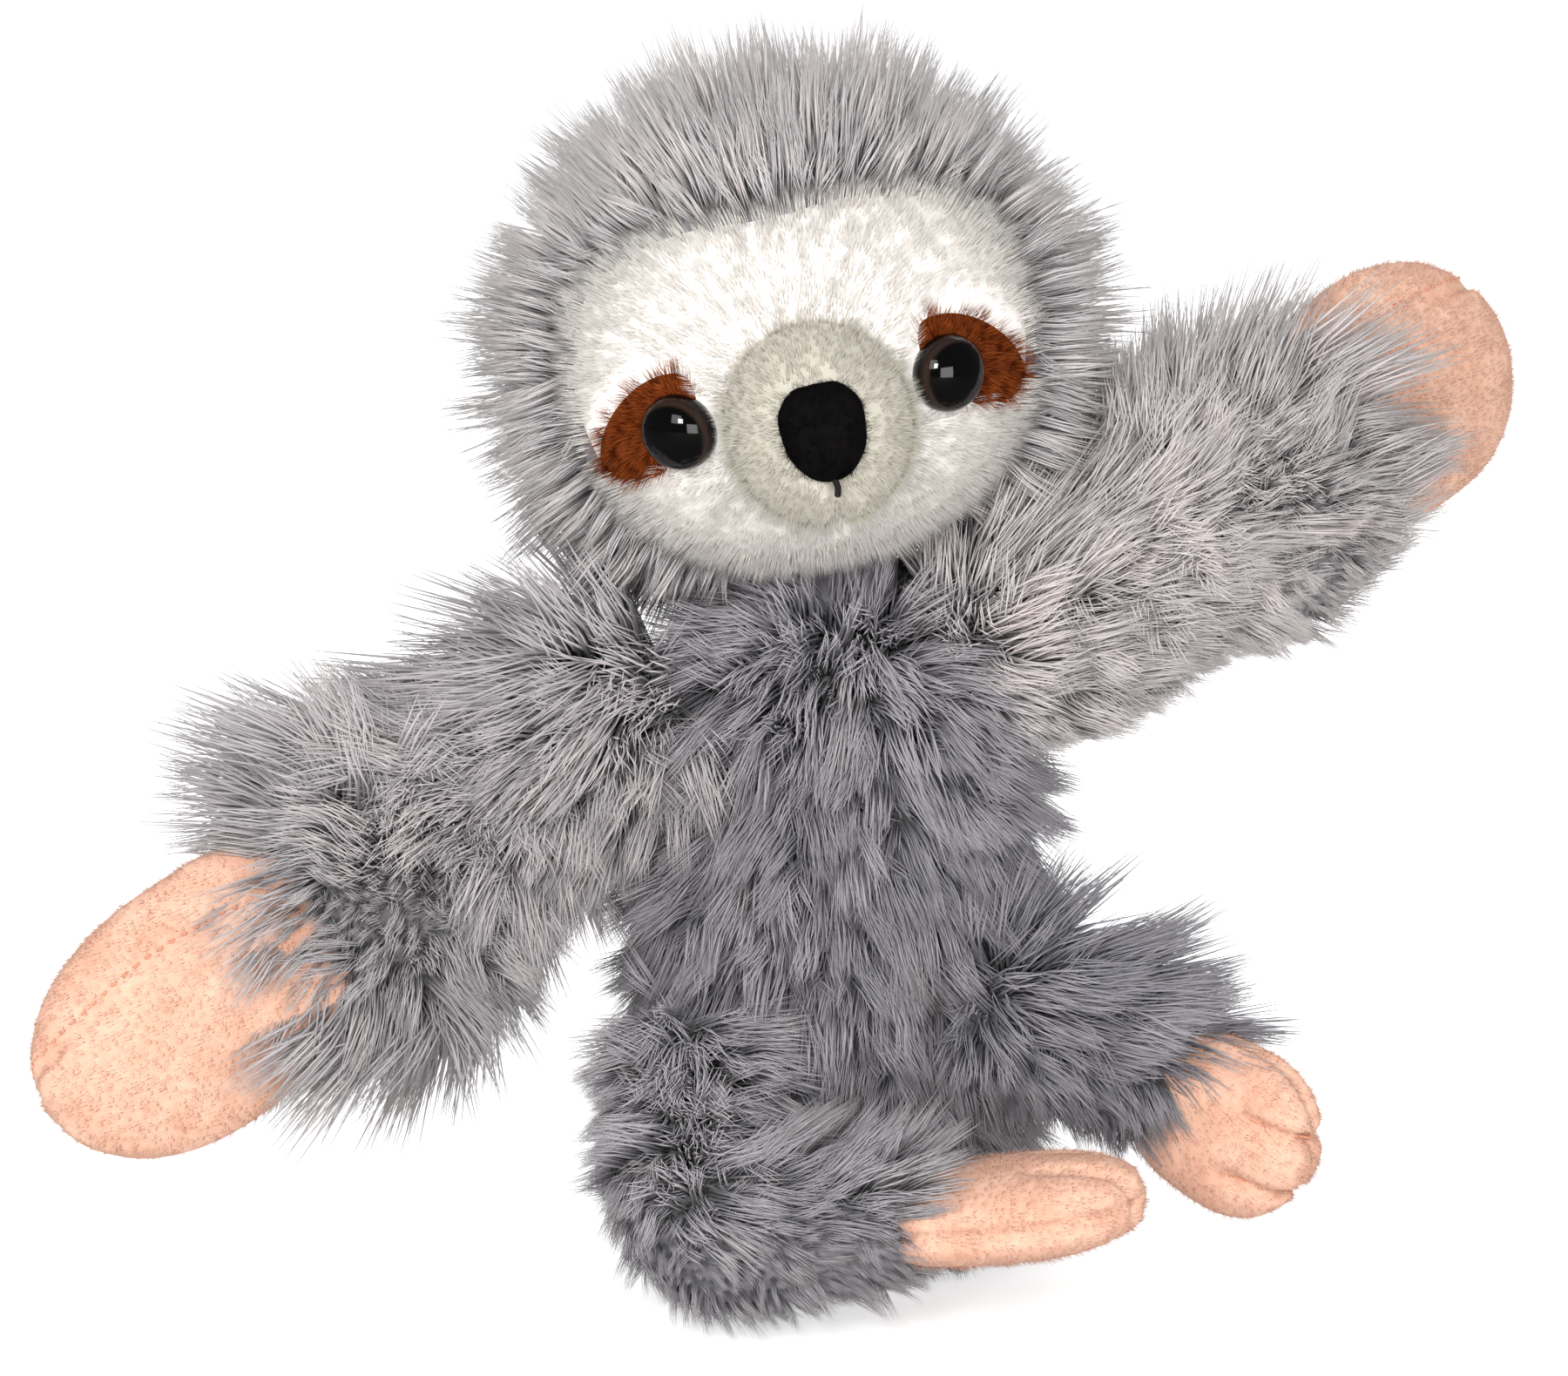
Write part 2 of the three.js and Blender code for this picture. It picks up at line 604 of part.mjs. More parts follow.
// Skin, filling, pellet bag and band of the torso
function torsoGroup() {
  const group = new THREE.Group();
  const sockets = torsoSockets(0);
  const socketed = (solid) => sockets.reduce((rest, socket) => rest.subtract(socket), solid);
  const { place, half } = chestBandFrame();
  const reach = 2 * TORSO_HEIGHT;
  const abovePellets = block([-reach, -reach, PELLET_FILL_HEIGHT + GAP], [reach, reach, reach]);
  const belowPellets = block([-reach, -reach, -reach], [reach, reach, PELLET_FILL_HEIGHT]);
  const inside = torsoForm(-LONG_PILE - GAP, ROUND_STEPS);
  const slotHalf = half + ARM_ROOT_RADIUS;
  const bandRoom = bandSolid(-slotHalf, slotHalf, GAP).transform(place.elements);
  const skin = aboveFloor(socketed(torsoForm(0).subtract(torsoForm(-LONG_PILE, ROUND_STEPS))));
  const clearSockets = torsoSockets(GAP).reduce((rest, socket) => rest.subtract(socket), inside);
  const band = toMesh('chest_band', bandSolid(-half, half), SPRING_STEEL);
  band.applyMatrix4(place);
  group.add(
    toMesh('torso_skin', skin, LONG_PLUSH),
    toMesh('torso_filling', clearSockets.intersect(abovePellets).subtract(bandRoom), FIBRE_FILL),
    toMesh('pellet_bag', clearSockets.intersect(belowPellets), PELLET_CLOTH),
    band,
  );
  return group;
}

// Head, in its own frame: X to its left, -Y forward, about the middle of the skull

const HEAD_MIDDLE = at(0, -HEAD_FORWARD, HEAD_RISE);

// The skull shape under the cloth, grown all over
const skullForm = (grow) => ellipsoid(
  HEAD_HALF_WIDTH + grow, HEAD_HALF_DEPTH + grow, HEAD_HALF_HEIGHT + grow);

// The head's long pile, thick on the crown and thin under the chin
function crownForm() {
  const halfHeight = HEAD_HALF_HEIGHT + (HEAD_CROWN_PILE + HEAD_CHIN_PILE) / 2;
  const rise = (HEAD_CROWN_PILE - HEAD_CHIN_PILE) / 2;
  return ellipsoid(HEAD_HALF_WIDTH + HEAD_CROWN_PILE, HEAD_HALF_DEPTH + HEAD_CROWN_PILE,
    halfHeight, at(0, 0, rise), FINE_STEPS);
}

// How far forward the skull, grown, lies at a place on the face
function faceDepth(x, z, grow = 0) {
  const across = x / (HEAD_HALF_WIDTH + grow);
  const upward = z / (HEAD_HALF_HEIGHT + grow);
  return (HEAD_HALF_DEPTH + grow) * Math.sqrt(1 - across ** 2 - upward ** 2);
}

// The face panel's outline, extruded forward from the middle of the head
function faceCutter(grow) {
  const half = FACE_OUTLINE_SHARES.map(([wide, high]) => [
    wide * (FACE_HALF_WIDTH + grow),
    high * ((high > 0 ? FACE_TOP : FACE_BOTTOM) + grow),
  ]);
  const chin = [[0, -(FACE_BOTTOM + grow)]];
  const mirrored = half.slice(1).map(([x, z]) => [-x, z]).reverse();
  const points = [...half, ...chin, ...mirrored].map(([x, z]) => new THREE.Vector2(x, z));
  const outline = new THREE.SplineCurve([...points, points[0].clone()]).getPoints(FINE_STEPS);
  outline.pop();
  return outlineSolid(outline.map((p) => [p.x, p.y]), -FACE_REACH, 0);
}

// The muzzle's bulge
const muzzleForm = (grow, steps = ROUND_STEPS) => ellipsoid(
  MUZZLE_HALF_WIDTH + grow, MUZZLE_REACH + SHORT_NAP + grow, MUZZLE_HALF_HEIGHT + grow,
  at(0, -HEAD_HALF_DEPTH, -MUZZLE_DROP), steps);

// The nose: a rounded triangle that follows the muzzle's front
function noseSolid() {
  const wide = NOSE_HALF_WIDTH;
  const flat = NOSE_FLAT_SHARE * wide;
  const [high, low] = [NOSE_TOP * NOSE_SIDE_SHARE, -NOSE_BOTTOM * NOSE_SIDE_SHARE];
  const outline = new THREE.Shape();
  outline.moveTo(0, -NOSE_BOTTOM);
  outline.bezierCurveTo(flat, -NOSE_BOTTOM, wide, low, wide, high);
  outline.bezierCurveTo(wide, NOSE_TOP, flat, NOSE_TOP, 0, NOSE_TOP);
  outline.bezierCurveTo(-flat, NOSE_TOP, -wide, NOSE_TOP, -wide, high);
  outline.bezierCurveTo(-wide, low, -flat, -NOSE_BOTTOM, 0, -NOSE_BOTTOM);
  const points = outline.getPoints(NOSE_STEPS).slice(0, -1).map((p) => [p.x, p.y + NOSE_RISE - MUZZLE_DROP]);
  const cutter = outlineSolid(points, -FACE_REACH, -HEAD_HALF_DEPTH);
  return muzzleForm(NOSE_THICKNESS + GAP).subtract(muzzleForm(GAP)).intersect(cutter);
}

// The stitch below the nose, laid on the muzzle
function mouthSolid() {
  const stand = THREAD_RADIUS + GAP + THREAD_RADIUS;
  const points = [0, 1, 2].map((i) => {
    const down = NOSE_BOTTOM - NOSE_RISE + GAP + THREAD_RADIUS + (MOUTH_LENGTH * i) / 2;
    const lean = Math.asin(down / (MUZZLE_HALF_HEIGHT + stand));
    const forward = (MUZZLE_REACH + SHORT_NAP + stand) * Math.cos(lean);
    return [0, -HEAD_HALF_DEPTH - forward, -MUZZLE_DROP - down];
  });
  return threadSolid(points, THREAD_RADIUS, THREAD_STEPS);
}

// The frame of an eye: Z out along the shank
function eyeFrame(side) {
  const x = (side * EYE_SPACING) / 2;
  const y = -faceDepth(x, EYE_RISE);
  const out = new THREE.Vector3(
    x / HEAD_HALF_WIDTH ** 2, y / HEAD_HALF_DEPTH ** 2, EYE_RISE / HEAD_HALF_HEIGHT ** 2);
  const turn = new THREE.Quaternion().setFromUnitVectors(new THREE.Vector3(0, 0, 1), out.normalize());
  return new THREE.Matrix4().makeRotationFromQuaternion(turn).setPosition(x, y, EYE_RISE);
}

// A form turned round an eye's shank
function eyeTurned(points, place) {
  const geometry = new THREE.LatheGeometry(points.map(([r, h]) => new THREE.Vector2(r, h)), MIDDLE_STEPS);
  geometry.rotateX(Math.PI / 2);
  geometry.applyMatrix4(place);
  return toSolid(geometry);
}

// Dome, flange and shank in one piece
function eyeSolid(place) {
  const base = EYE_STAND_OFF;
  const dome = [];
  for (let i = 1; i < DOME_STEPS; i += 1) {
    const angle = (Math.PI / 2) * (i / DOME_STEPS);
    dome.push([EYE_RADIUS * Math.cos(angle), base + EYE_FLANGE + EYE_DOME * Math.sin(angle)]);
  }
  return eyeTurned([
    [0, -EYE_SHANK_LENGTH], [EYE_SHANK_RADIUS, -EYE_SHANK_LENGTH], [EYE_SHANK_RADIUS, base],
    [EYE_RADIUS, base], [EYE_RADIUS, base + EYE_FLANGE], ...dome, [0, base + EYE_FLANGE + EYE_DOME],
  ], place);
}

// The locking washer on the shank, behind the cloth
function washerSolid(place) {
  const bore = EYE_SHANK_RADIUS + GAP;
  const front = -WASHER_DEPTH;
  const back = front - WASHER_THICKNESS;
  return eyeTurned(
    [[bore, back], [WASHER_RADIUS, back], [WASHER_RADIUS, front], [bore, front], [bore, back]], place);
}

// A round pin of room about an eye's axis
const eyeRoom = (radius, from, to, place) =>
  eyeTurned([[0, from], [radius, from], [radius, to], [0, to]], place);

// The patch's slanting oval, extruded forward
function patchCutter(side, grow) {
  const slant = radians(PATCH_SLANT);
  const middle = [EYE_SPACING / 2 + PATCH_OUT, EYE_RISE - PATCH_DROP];
  const points = [];
  for (let i = 0; i < MIDDLE_STEPS; i += 1) {
    const angle = (2 * Math.PI * i) / (MIDDLE_STEPS);
    const long = (PATCH_LONG + grow) * Math.cos(angle);
    const wide = (PATCH_WIDE + grow) * Math.sin(angle);
    const x = middle[0] + long * Math.sin(slant) + wide * Math.cos(slant);
    const z = middle[1] - long * Math.cos(slant) + wide * Math.sin(slant);
    points.push([side * x, z]);
  }
  return outlineSolid(side > 0 ? points : points.reverse(), -FACE_REACH, 0);
}

// The whole head in its frame
function headGroup() {
  const group = new THREE.Group();
  const neck = NECK_RADIUS + turningRoom(NECK_RADIUS);
  const neckRoom = ellipsoid(neck, neck, neck, HEAD_MIDDLE.clone().invert(), INNER_STEPS);
  const nap = skullForm(SHORT_NAP).subtract(skullForm(GAP));
  const skin = crownForm().subtract(skullForm(GAP)).subtract(faceCutter(GAP)).subtract(neckRoom);
  const sides = [['right', -1], ['left', 1]];
  const places = sides.map(([, side]) => eyeFrame(side));
  const eyeHoles = places.map((place) => eyeRoom(EYE_RADIUS + GAP, -SHORT_NAP, EYE_RADIUS * 2, place));
  let panel = nap.intersect(faceCutter(0)).subtract(muzzleForm(GAP)).subtract(neckRoom);
  let filling = skullForm(0).subtract(neckRoom);
  sides.forEach(([name, side], i) => {
    const place = places[i];
    panel = panel.subtract(patchCutter(side, GAP)).subtract(eyeHoles[i]);
    filling = filling.subtract(eyeRoom(WASHER_RADIUS + GAP, -EYE_SHANK_LENGTH - GAP, EYE_RADIUS, place));
    const patch = nap.intersect(patchCutter(side, 0)).intersect(faceCutter(0))
      .subtract(eyeHoles[i]).subtract(muzzleForm(GAP));
    group.add(
      toMesh(`${name}_eye_patch`, patch, BROWN_PLUSH),
      toMesh(`${name}_eye`, eyeSolid(place), EYE_PLASTIC),
      toMesh(`${name}_eye_washer`, washerSolid(place), WASHER_PLASTIC),
    );
  });
  const muzzleHollow = muzzleForm(-SHORT_NAP, INNER_STEPS);
  const muzzle = muzzleForm(0).subtract(muzzleHollow).subtract(skullForm(GAP));
  const muzzleFilling = muzzleForm(-SHORT_NAP - GAP, INNER_STEPS).subtract(skullForm(GAP));
  group.add(
    toMesh('head_skin', skin, LONG_PLUSH),
    toMesh('face_panel', panel, WHITE_PLUSH),
    toMesh('head_filling', filling, FIBRE_FILL),
    toMesh('muzzle_panel', muzzle, MUZZLE_PLUSH),
    toMesh('muzzle_filling', muzzleFilling, FIBRE_FILL),
    toMesh('nose', noseSolid(), NOSE_FELT),
    toMesh('mouth_stitch', mouthSolid(), BLACK_THREAD),
  );
  group.applyMatrix4(HEAD_MIDDLE);
  return group;
}

// The neck's gathered tube, and the head on it
function neckGroup() {
  const group = new THREE.Group();
  group.name = 'neck';
  group.position.set(...NECK_PLACE);
  group.add(toMesh('neck_gather', ellipsoid(NECK_RADIUS, NECK_RADIUS, NECK_RADIUS,
    new THREE.Matrix4(), INNER_STEPS), LONG_PLUSH));
  const tilt = new THREE.Group();
  tilt.rotation.set(0, radians(HEAD_ROLL), radians(HEAD_YAW), 'ZXY');
  tilt.add(headGroup());
  group.add(tilt);
  return group;
}

// The whole sloth, its origin under the middle of its box
function sloth() {
  const whole = new THREE.Group();
  const torsoOutside = torsoSockets(-GAP).reduce((rest, socket) => rest.subtract(socket), torsoForm(GAP));
  whole.add(
    torsoGroup(),
    neckGroup(),
    armGroup('right', RIGHT_ARM),
    armGroup('left', LEFT_ARM),
    legGroup('right', RIGHT_LEG, torsoOutside),
    legGroup('left', LEFT_LEG, torsoOutside),
  );
  whole.updateMatrixWorld(true);
  const box = new THREE.Box3().setFromObject(whole, true);
  const middle = box.getCenter(new THREE.Vector3());
  whole.position.set(-middle.x, -middle.y, -box.min.z);
  return whole;
}

export default sloth();
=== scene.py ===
"""A seated plush sloth: stuffed cloth forms, long and short pile, velour hands and feet.

Metres, +Z up, the face towards -Y. Right and left are the sloth's own.
"""

import json
import logging
import math
from dataclasses import dataclass, field
from enum import Enum
from typing import Any, Callable, ClassVar, Iterable, Optional, Sequence, Union

import bmesh
import bpy
import numpy as np
from mathutils import Matrix, Vector


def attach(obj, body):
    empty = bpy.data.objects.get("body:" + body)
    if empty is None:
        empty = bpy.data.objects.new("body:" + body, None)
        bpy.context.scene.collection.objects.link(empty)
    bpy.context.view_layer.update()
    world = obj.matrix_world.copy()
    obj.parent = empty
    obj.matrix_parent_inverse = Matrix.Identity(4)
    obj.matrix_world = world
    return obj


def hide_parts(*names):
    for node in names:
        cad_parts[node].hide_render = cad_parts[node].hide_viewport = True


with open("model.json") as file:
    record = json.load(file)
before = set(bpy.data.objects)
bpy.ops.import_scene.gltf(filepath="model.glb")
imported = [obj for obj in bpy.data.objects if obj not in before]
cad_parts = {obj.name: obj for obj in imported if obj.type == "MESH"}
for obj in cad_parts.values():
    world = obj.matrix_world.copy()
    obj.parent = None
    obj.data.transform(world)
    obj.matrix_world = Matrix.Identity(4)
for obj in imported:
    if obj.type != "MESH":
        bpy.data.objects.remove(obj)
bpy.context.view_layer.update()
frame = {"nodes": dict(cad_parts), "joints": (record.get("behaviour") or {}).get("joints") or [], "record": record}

LOG = logging.getLogger("sloth")
MM = 0.001
UP = Vector((0.0, 0.0, 1.0))
PILE_MAP = "OFBake"
POLE_GAP = 0.1 * MM
LONG_CLUMP = 4.6 * MM
NAP_WAVE = 1.2 * MM
TOES = 3
FULL_TURN = 2 * math.pi
DOWN = np.array([0.0, 0.0, -1.0])
FRONTAL = np.array([1.0, 0.0, 1.0])

Triple = tuple[float, float, float]
Colour = Triple
Points = np.ndarray
Outline = tuple[tuple[float, float], ...]
Piece = bpy.types.Object
Tree = bpy.types.NodeTree
Socket = bpy.types.NodeSocket


# Colour helpers


def from_screen(red: int, green: int, blue: int) -> Colour:
    """A linear colour from a screen colour of 0 to 255.

    Args:
        red, green, blue: the screen colour's parts.

    Returns:
        The linear colour.
    """
    def channel(value: int) -> float:
        """One part of the colour."""
        share = value / 255
        return share / 12.92 if share <= 0.04045 else ((share + 0.055) / 1.055) ** 2.4
    return channel(red), channel(green), channel(blue)


# Node trees


@dataclass(frozen=True)
class Value:
    """A node's output that takes part in arithmetic.

    Args:
        graph: the tree that the output belongs to.
        socket: the output.
    """

    graph: "Graph"
    socket: Socket

    def _math(self, operation: str, first: "Term", second: "Term" = 0.0) -> "Value":
        """Adds a Math node and returns its value."""
        return self.graph.add("ShaderNodeMath", {"operation": operation}, {0: first, 1: second}).value()

    def __add__(self, other: "Term") -> "Value":
        """Sum."""
        return self._math("ADD", self, other)

    def __radd__(self, other: "Term") -> "Value":
        """Sum, reflected."""
        return self._math("ADD", other, self)

    def __sub__(self, other: "Term") -> "Value":
        """Difference."""
        return self._math("SUBTRACT", self, other)

    def __rsub__(self, other: "Term") -> "Value":
        """Difference, reflected."""
        return self._math("SUBTRACT", other, self)

    def __mul__(self, other: "Term") -> "Value":
        """Product."""
        return self._math("MULTIPLY", self, other)

    def __rmul__(self, other: "Term") -> "Value":
        """Product, reflected."""
        return self._math("MULTIPLY", other, self)

    def __pow__(self, other: "Term") -> "Value":
        """Power."""
        return self._math("POWER", self, other)

    def held(self) -> "Value":
        """The value held between 0 and 1."""
        return self._math("MINIMUM", self._math("MAXIMUM", self, 0.0), 1.0)


Term = Union[Value, float, int]


@dataclass(frozen=True)
class Step:
    """A node in a graph, with its outputs by name or place.

    Args:
        graph: the tree that the node is in.
        node: the node.
    """

    graph: "Graph"
    node: bpy.types.Node

    def out(self, key: Union[str, int] = 0) -> Socket:
        """An output socket that is in use.

        Args:
            key: its name, or its place among those in use.

        Returns:
            The socket.
        """
        if isinstance(key, int):
            return [s for s in self.node.outputs if s.enabled][key]
        return next(s for s in self.node.outputs if s.enabled and s.name == key)

    def value(self, key: Union[str, int] = 0) -> Value:
        """An output for arithmetic."""
        return Value(self.graph, self.out(key))


@dataclass(frozen=True)
class Graph:
    """A shader or geometry tree under construction.

    Args:
        tree: the node tree to fill.
    """

    tree: Tree

    def add(self, kind: str, settings: Optional[dict[str, Any]] = None,
            inputs: Optional[dict[Union[str, int], Any]] = None) -> Step:
        """Adds a node.

        Args:
            kind: the node's type.
            settings: properties, set before its inputs.
            inputs: values or links, by input name or place.

        Returns:
            The new node.
        """
        node = self.tree.nodes.new(kind)
        for name, setting in (settings or {}).items():
            if name == "stops":
                self._stops(node.color_ramp, setting)
            else:
                setattr(node, name, setting)
        for key, given in (inputs or {}).items():
            self.feed(self._input(node, key), given)
        return Step(self, node)

    def vectors(self, operation: str, first: Any, second: Any) -> Step:
        """A Vector Math node of two vectors."""
        return self.add("ShaderNodeVectorMath", {"operation": operation}, {0: first, 1: second})

    def scaled(self, vector: Any, share: Any) -> Step:
        """A vector times a share."""
        return self.add("ShaderNodeVectorMath", {"operation": "SCALE"}, {"Vector": vector, "Scale": share})

    def named(self, name: str, kind: str = "FLOAT") -> Step:
        """Reads an attribute by name."""
        return self.add("GeometryNodeInputNamedAttribute", {"data_type": kind}, {"Name": name})

    def chance(self, kind: str, low: Any, high: Any, **inputs: Any) -> Step:
        """A Random Value node from low to high."""
        return self.add("FunctionNodeRandomValue", {"data_type": kind}, {"Min": low, "Max": high, **inputs})

    def stored(self, geometry: Any, name: str, value: Any, kind: str = "FLOAT",
               domain: str = "POINT") -> Step:
        """Keeps a value on a geometry under a name."""
        return self.add("GeometryNodeStoreNamedAttribute", {"data_type": kind, "domain": domain},
                        {"Geometry": geometry, "Name": name, "Value": value})

    def feed(self, socket: Socket, given: Any) -> None:
        """Links an output to an input, or sets the input's own value.

        Args:
            socket: the input.
            given: an output, or the value.
        """
        if isinstance(given, Value):
            self.tree.links.new(given.socket, socket)
        elif isinstance(given, Step):
            self.tree.links.new(given.out(), socket)
        elif isinstance(given, Socket):
            self.tree.links.new(given, socket)
        elif socket.type == "RGBA" and len(given) == 3:
            socket.default_value = (*given, 1.0)
        else:
            socket.default_value = given

    @staticmethod
    def _input(node: bpy.types.Node, key: Union[str, int]) -> Socket:
        """An input that is in use.

        Args:
            node: its node.
            key: its name, or its place among those in use.

        Returns:
            The socket.
        """
        if isinstance(key, int):
            return [s for s in node.inputs if s.enabled][key]
        return next(s for s in node.inputs if s.enabled and s.name == key)

    @staticmethod
    def _stops(ramp: bpy.types.ColorRamp, stops: Sequence[tuple[float, Colour]]) -> None:
        """Gives a colour ramp its stops.

        Args:
            ramp: the ramp.
            stops: place and colour of each.
        """
        while len(ramp.elements) < len(stops):
            ramp.elements.new(1.0)
        for element, (place, colour) in zip(ramp.elements, stops):
            element.position = place
            element.color = (*colour, 1.0)


# Finishes


class Finish:
    """A procedural material, made once and shared."""

    name: str

    def material(self) -> bpy.types.Material:
        """The finish's material, made on first use.

        Returns:
            The material.
        """
        title = f"{self.name}_finish"
        known = bpy.data.materials.get(title)
        if known:
            return known
        made = bpy.data.materials.new(title)
        made.use_nodes = True
        made.node_tree.nodes.clear()
        graph = Graph(made.node_tree)
        surface = graph.add("ShaderNodeBsdfPrincipled")
        graph.add("ShaderNodeOutputMaterial", {}, {"Surface": surface})
        self.paint(graph, surface.node)
        return made

    def paint(self, graph: Graph, surface: bpy.types.Node) -> None:
        """Fills the material's nodes.

        Args:
            graph: the material's tree.
            surface: its shader.
        """
        raise NotImplementedError

    def dress(self, *objects: Piece) -> None:
        """Gives objects this finish alone."""
        for piece in objects:
            piece.data.materials.clear()
            piece.data.materials.append(self.material())

    @staticmethod
    def place(graph: Graph) -> Socket:
        """Object coordinates."""
        return graph.add("ShaderNodeTexCoord").out("Object")

    @staticmethod
    def noise(graph: Graph, place: Any, scale: float, detail: float = 3.0) -> Value:
        """Noise of 0 to 1 at a scale."""
        inputs = {"Vector": place, "Scale": scale, "Detail": detail}
        return graph.add("ShaderNodeTexNoise", {}, inputs).value(0)

    @staticmethod
    def blend_colours(graph: Graph, share: Any, first: Any, second: Any) -> Socket:
        """A mix of two colours."""
        step = graph.add("ShaderNodeMix", {"data_type": "RGBA"}, {"Factor": share, "A": first, "B": second})
        return step.out("Result")

    @staticmethod
    def bumps(graph: Graph, height: Value, strength: float, depth: float) -> Step:
        """A Bump node for a height."""
        return graph.add("ShaderNodeBump", {}, {"Strength": strength, "Distance": depth, "Height": height})


@dataclass(frozen=True)
class PileFinish(Finish):
    """Fibres of a pile, coloured from root to tip and from lock to lock.

    Args:
        name: the material's name.
        root: colour at the cloth, darker as painted shade deep in the pile.
        body: colour along the fibre.
        tip: colour at the end, lighter as painted light.
        warm: colour that some locks lean to.
        shade: how much darker the darkest lock is.
        roughness: surface roughness.
        sheen: soft edge light of the fibres.
        shine: how much they reflect.
    """

    name: str
    root: Colour
    body: Colour
    tip: Colour
    warm: Colour
    shade: float = 0.3
    roughness: float = 0.6
    sheen: float = 0.15
    shine: float = 0.35

    def paint(self, graph: Graph, surface: bpy.types.Node) -> None:
        """Colour from the pile's own map: across is the lock, up is root to tip.

        Args:
            graph: the material's tree.
            surface: its shader.
        """
        spot = graph.add("ShaderNodeUVMap", {"uv_map": PILE_MAP})
        parts = graph.add("ShaderNodeSeparateXYZ", {}, {"Vector": spot})
        lock, along = parts.value("X"), parts.value("Y")
        # Painted shade at the roots, painted light at the tips.
        stops = [(0.0, self.root), (0.45, self.body), (1.0, self.tip)]
        fibre = graph.add("ShaderNodeValToRGB", {"stops": stops}, {"Fac": along}).out("Color")
        warmth = ((lock - 0.55) * 1.6).held() * along.held()
        leaning = self.blend_colours(graph, warmth, fibre, self.warm)
        dark = ((0.5 - lock) * 2.0).held() * self.shade
        shaded = self.blend_colours(graph, dark, leaning, self.root)
        graph.feed(surface.inputs["Base Color"], shaded)
        graph.feed(surface.inputs["Roughness"], self.roughness + 0.1 * lock)
        surface.inputs["Specular IOR Level"].default_value = self.shine
        surface.inputs["Sheen Weight"].default_value = self.sheen
        surface.inputs["Sheen Roughness"].default_value = 0.4


@dataclass(frozen=True)
class ClothFinish(Finish):
    """A cloth with a fine nap, such as velour or a pile's backing.

    Args:
        name: the material's name.
        colour: the cloth's main colour.
        brushed: colour where the nap lies the other way.
        grain: noise scale of the nap.
        drift: noise scale of the brushed patches.
        depth: bump depth in metres.
        sheen: soft edge light.
        shine: how much it reflects.
    """

    name: str
    colour: Colour
    brushed: Colour
    grain: float = 2600.0
    drift: float = 70.0
    depth: float = 0.25 * MM
    sheen: float = 0.3
    shine: float = 0.25

    def paint(self, graph: Graph, surface: bpy.types.Node) -> None:
        """Brushed patches over a fine grain.

        Args:
            graph: the material's tree.
            surface: its shader.
        """
        place = self.place(graph)
        patches = self.noise(graph, place, self.drift, 4.0)
        grain = self.noise(graph, place, self.grain, 2.0)
        fine = self.noise(graph, place, self.grain / 3, 3.0)
        share = ((patches - 0.5) * 1.8 + (fine - 0.5) * 1.2 + 0.5).held()
        base = self.blend_colours(graph, share, self.colour, self.brushed)
        speck = self.blend_colours(graph, (grain - 0.45).held() * 0.5, base, self.brushed)
        graph.feed(surface.inputs["Base Color"], speck)
        graph.feed(surface.inputs["Roughness"], 0.8 + 0.15 * grain)
        graph.feed(surface.inputs["Normal"], self.bumps(graph, grain * 0.6 + fine * 0.4, 0.55, self.depth))
        surface.inputs["Specular IOR Level"].default_value = self.shine
        surface.inputs["Sheen Weight"].default_value = self.sheen
        surface.inputs["Sheen Roughness"].default_value = 0.5


@dataclass(frozen=True)
class ThreadFinish(Finish):
    """Twisted sewing thread.

    Args:
        name: the material's name.
        colour: the thread's colour.
        hollow: colour between its strands.
    """

    name: str
    colour: Colour
    hollow: Colour

    def paint(self, graph: Graph, surface: bpy.types.Node) -> None:
        """Fine diagonal strands.

        Args:
            graph: the material's tree.
            surface: its shader.
        """
        place = self.place(graph)
        twist = graph.add("ShaderNodeTexWave", {"bands_direction": "DIAGONAL"},
                          {"Vector": place, "Scale": 900.0, "Distortion": 2.0, "Detail": 1.0}).value(1)
        graph.feed(surface.inputs["Base Color"], self.blend_colours(graph, twist, self.hollow, self.colour))
        graph.feed(surface.inputs["Roughness"], 0.65 + 0.2 * twist)
        graph.feed(surface.inputs["Normal"], self.bumps(graph, twist, 0.4, 0.1 * MM))


@dataclass(frozen=True)
class EyeFinish(Finish):
    """Clear plastic over a brown iris and a black pupil.

    Args:
        name: the material's name.
        pupil: colour of the middle.
        iris: colour of the ring.
        rim: colour of the outer edge.
    """

    name: str
    pupil: Colour
    iris: Colour
    rim: Colour

    def paint(self, graph: Graph, surface: bpy.types.Node) -> None:
        """Rings from the eye's own map, whose height runs from the middle outwards.

        Args:
            graph: the material's tree.
            surface: its shader.
        """
        spot = graph.add("ShaderNodeUVMap", {"uv_map": PILE_MAP})
        parts = graph.add("ShaderNodeSeparateXYZ", {}, {"Vector": spot})
        flecks = self.noise(graph, self.place(graph), 900.0, 2.0)
        out = parts.value("Y") + (flecks - 0.5) * 0.03
        stops = [(0.0, self.pupil), (0.82, self.pupil), (0.88, self.iris), (0.93, self.iris),
                 (0.98, self.rim)]
        rings = graph.add("ShaderNodeValToRGB", {"stops": stops}, {"Fac": out}).out("Color")
        graph.feed(surface.inputs["Base Color"], rings)
        surface.inputs["Roughness"].default_value = 0.05
        surface.inputs["IOR"].default_value = 1.42
        surface.inputs["Coat Weight"].default_value = 0.0


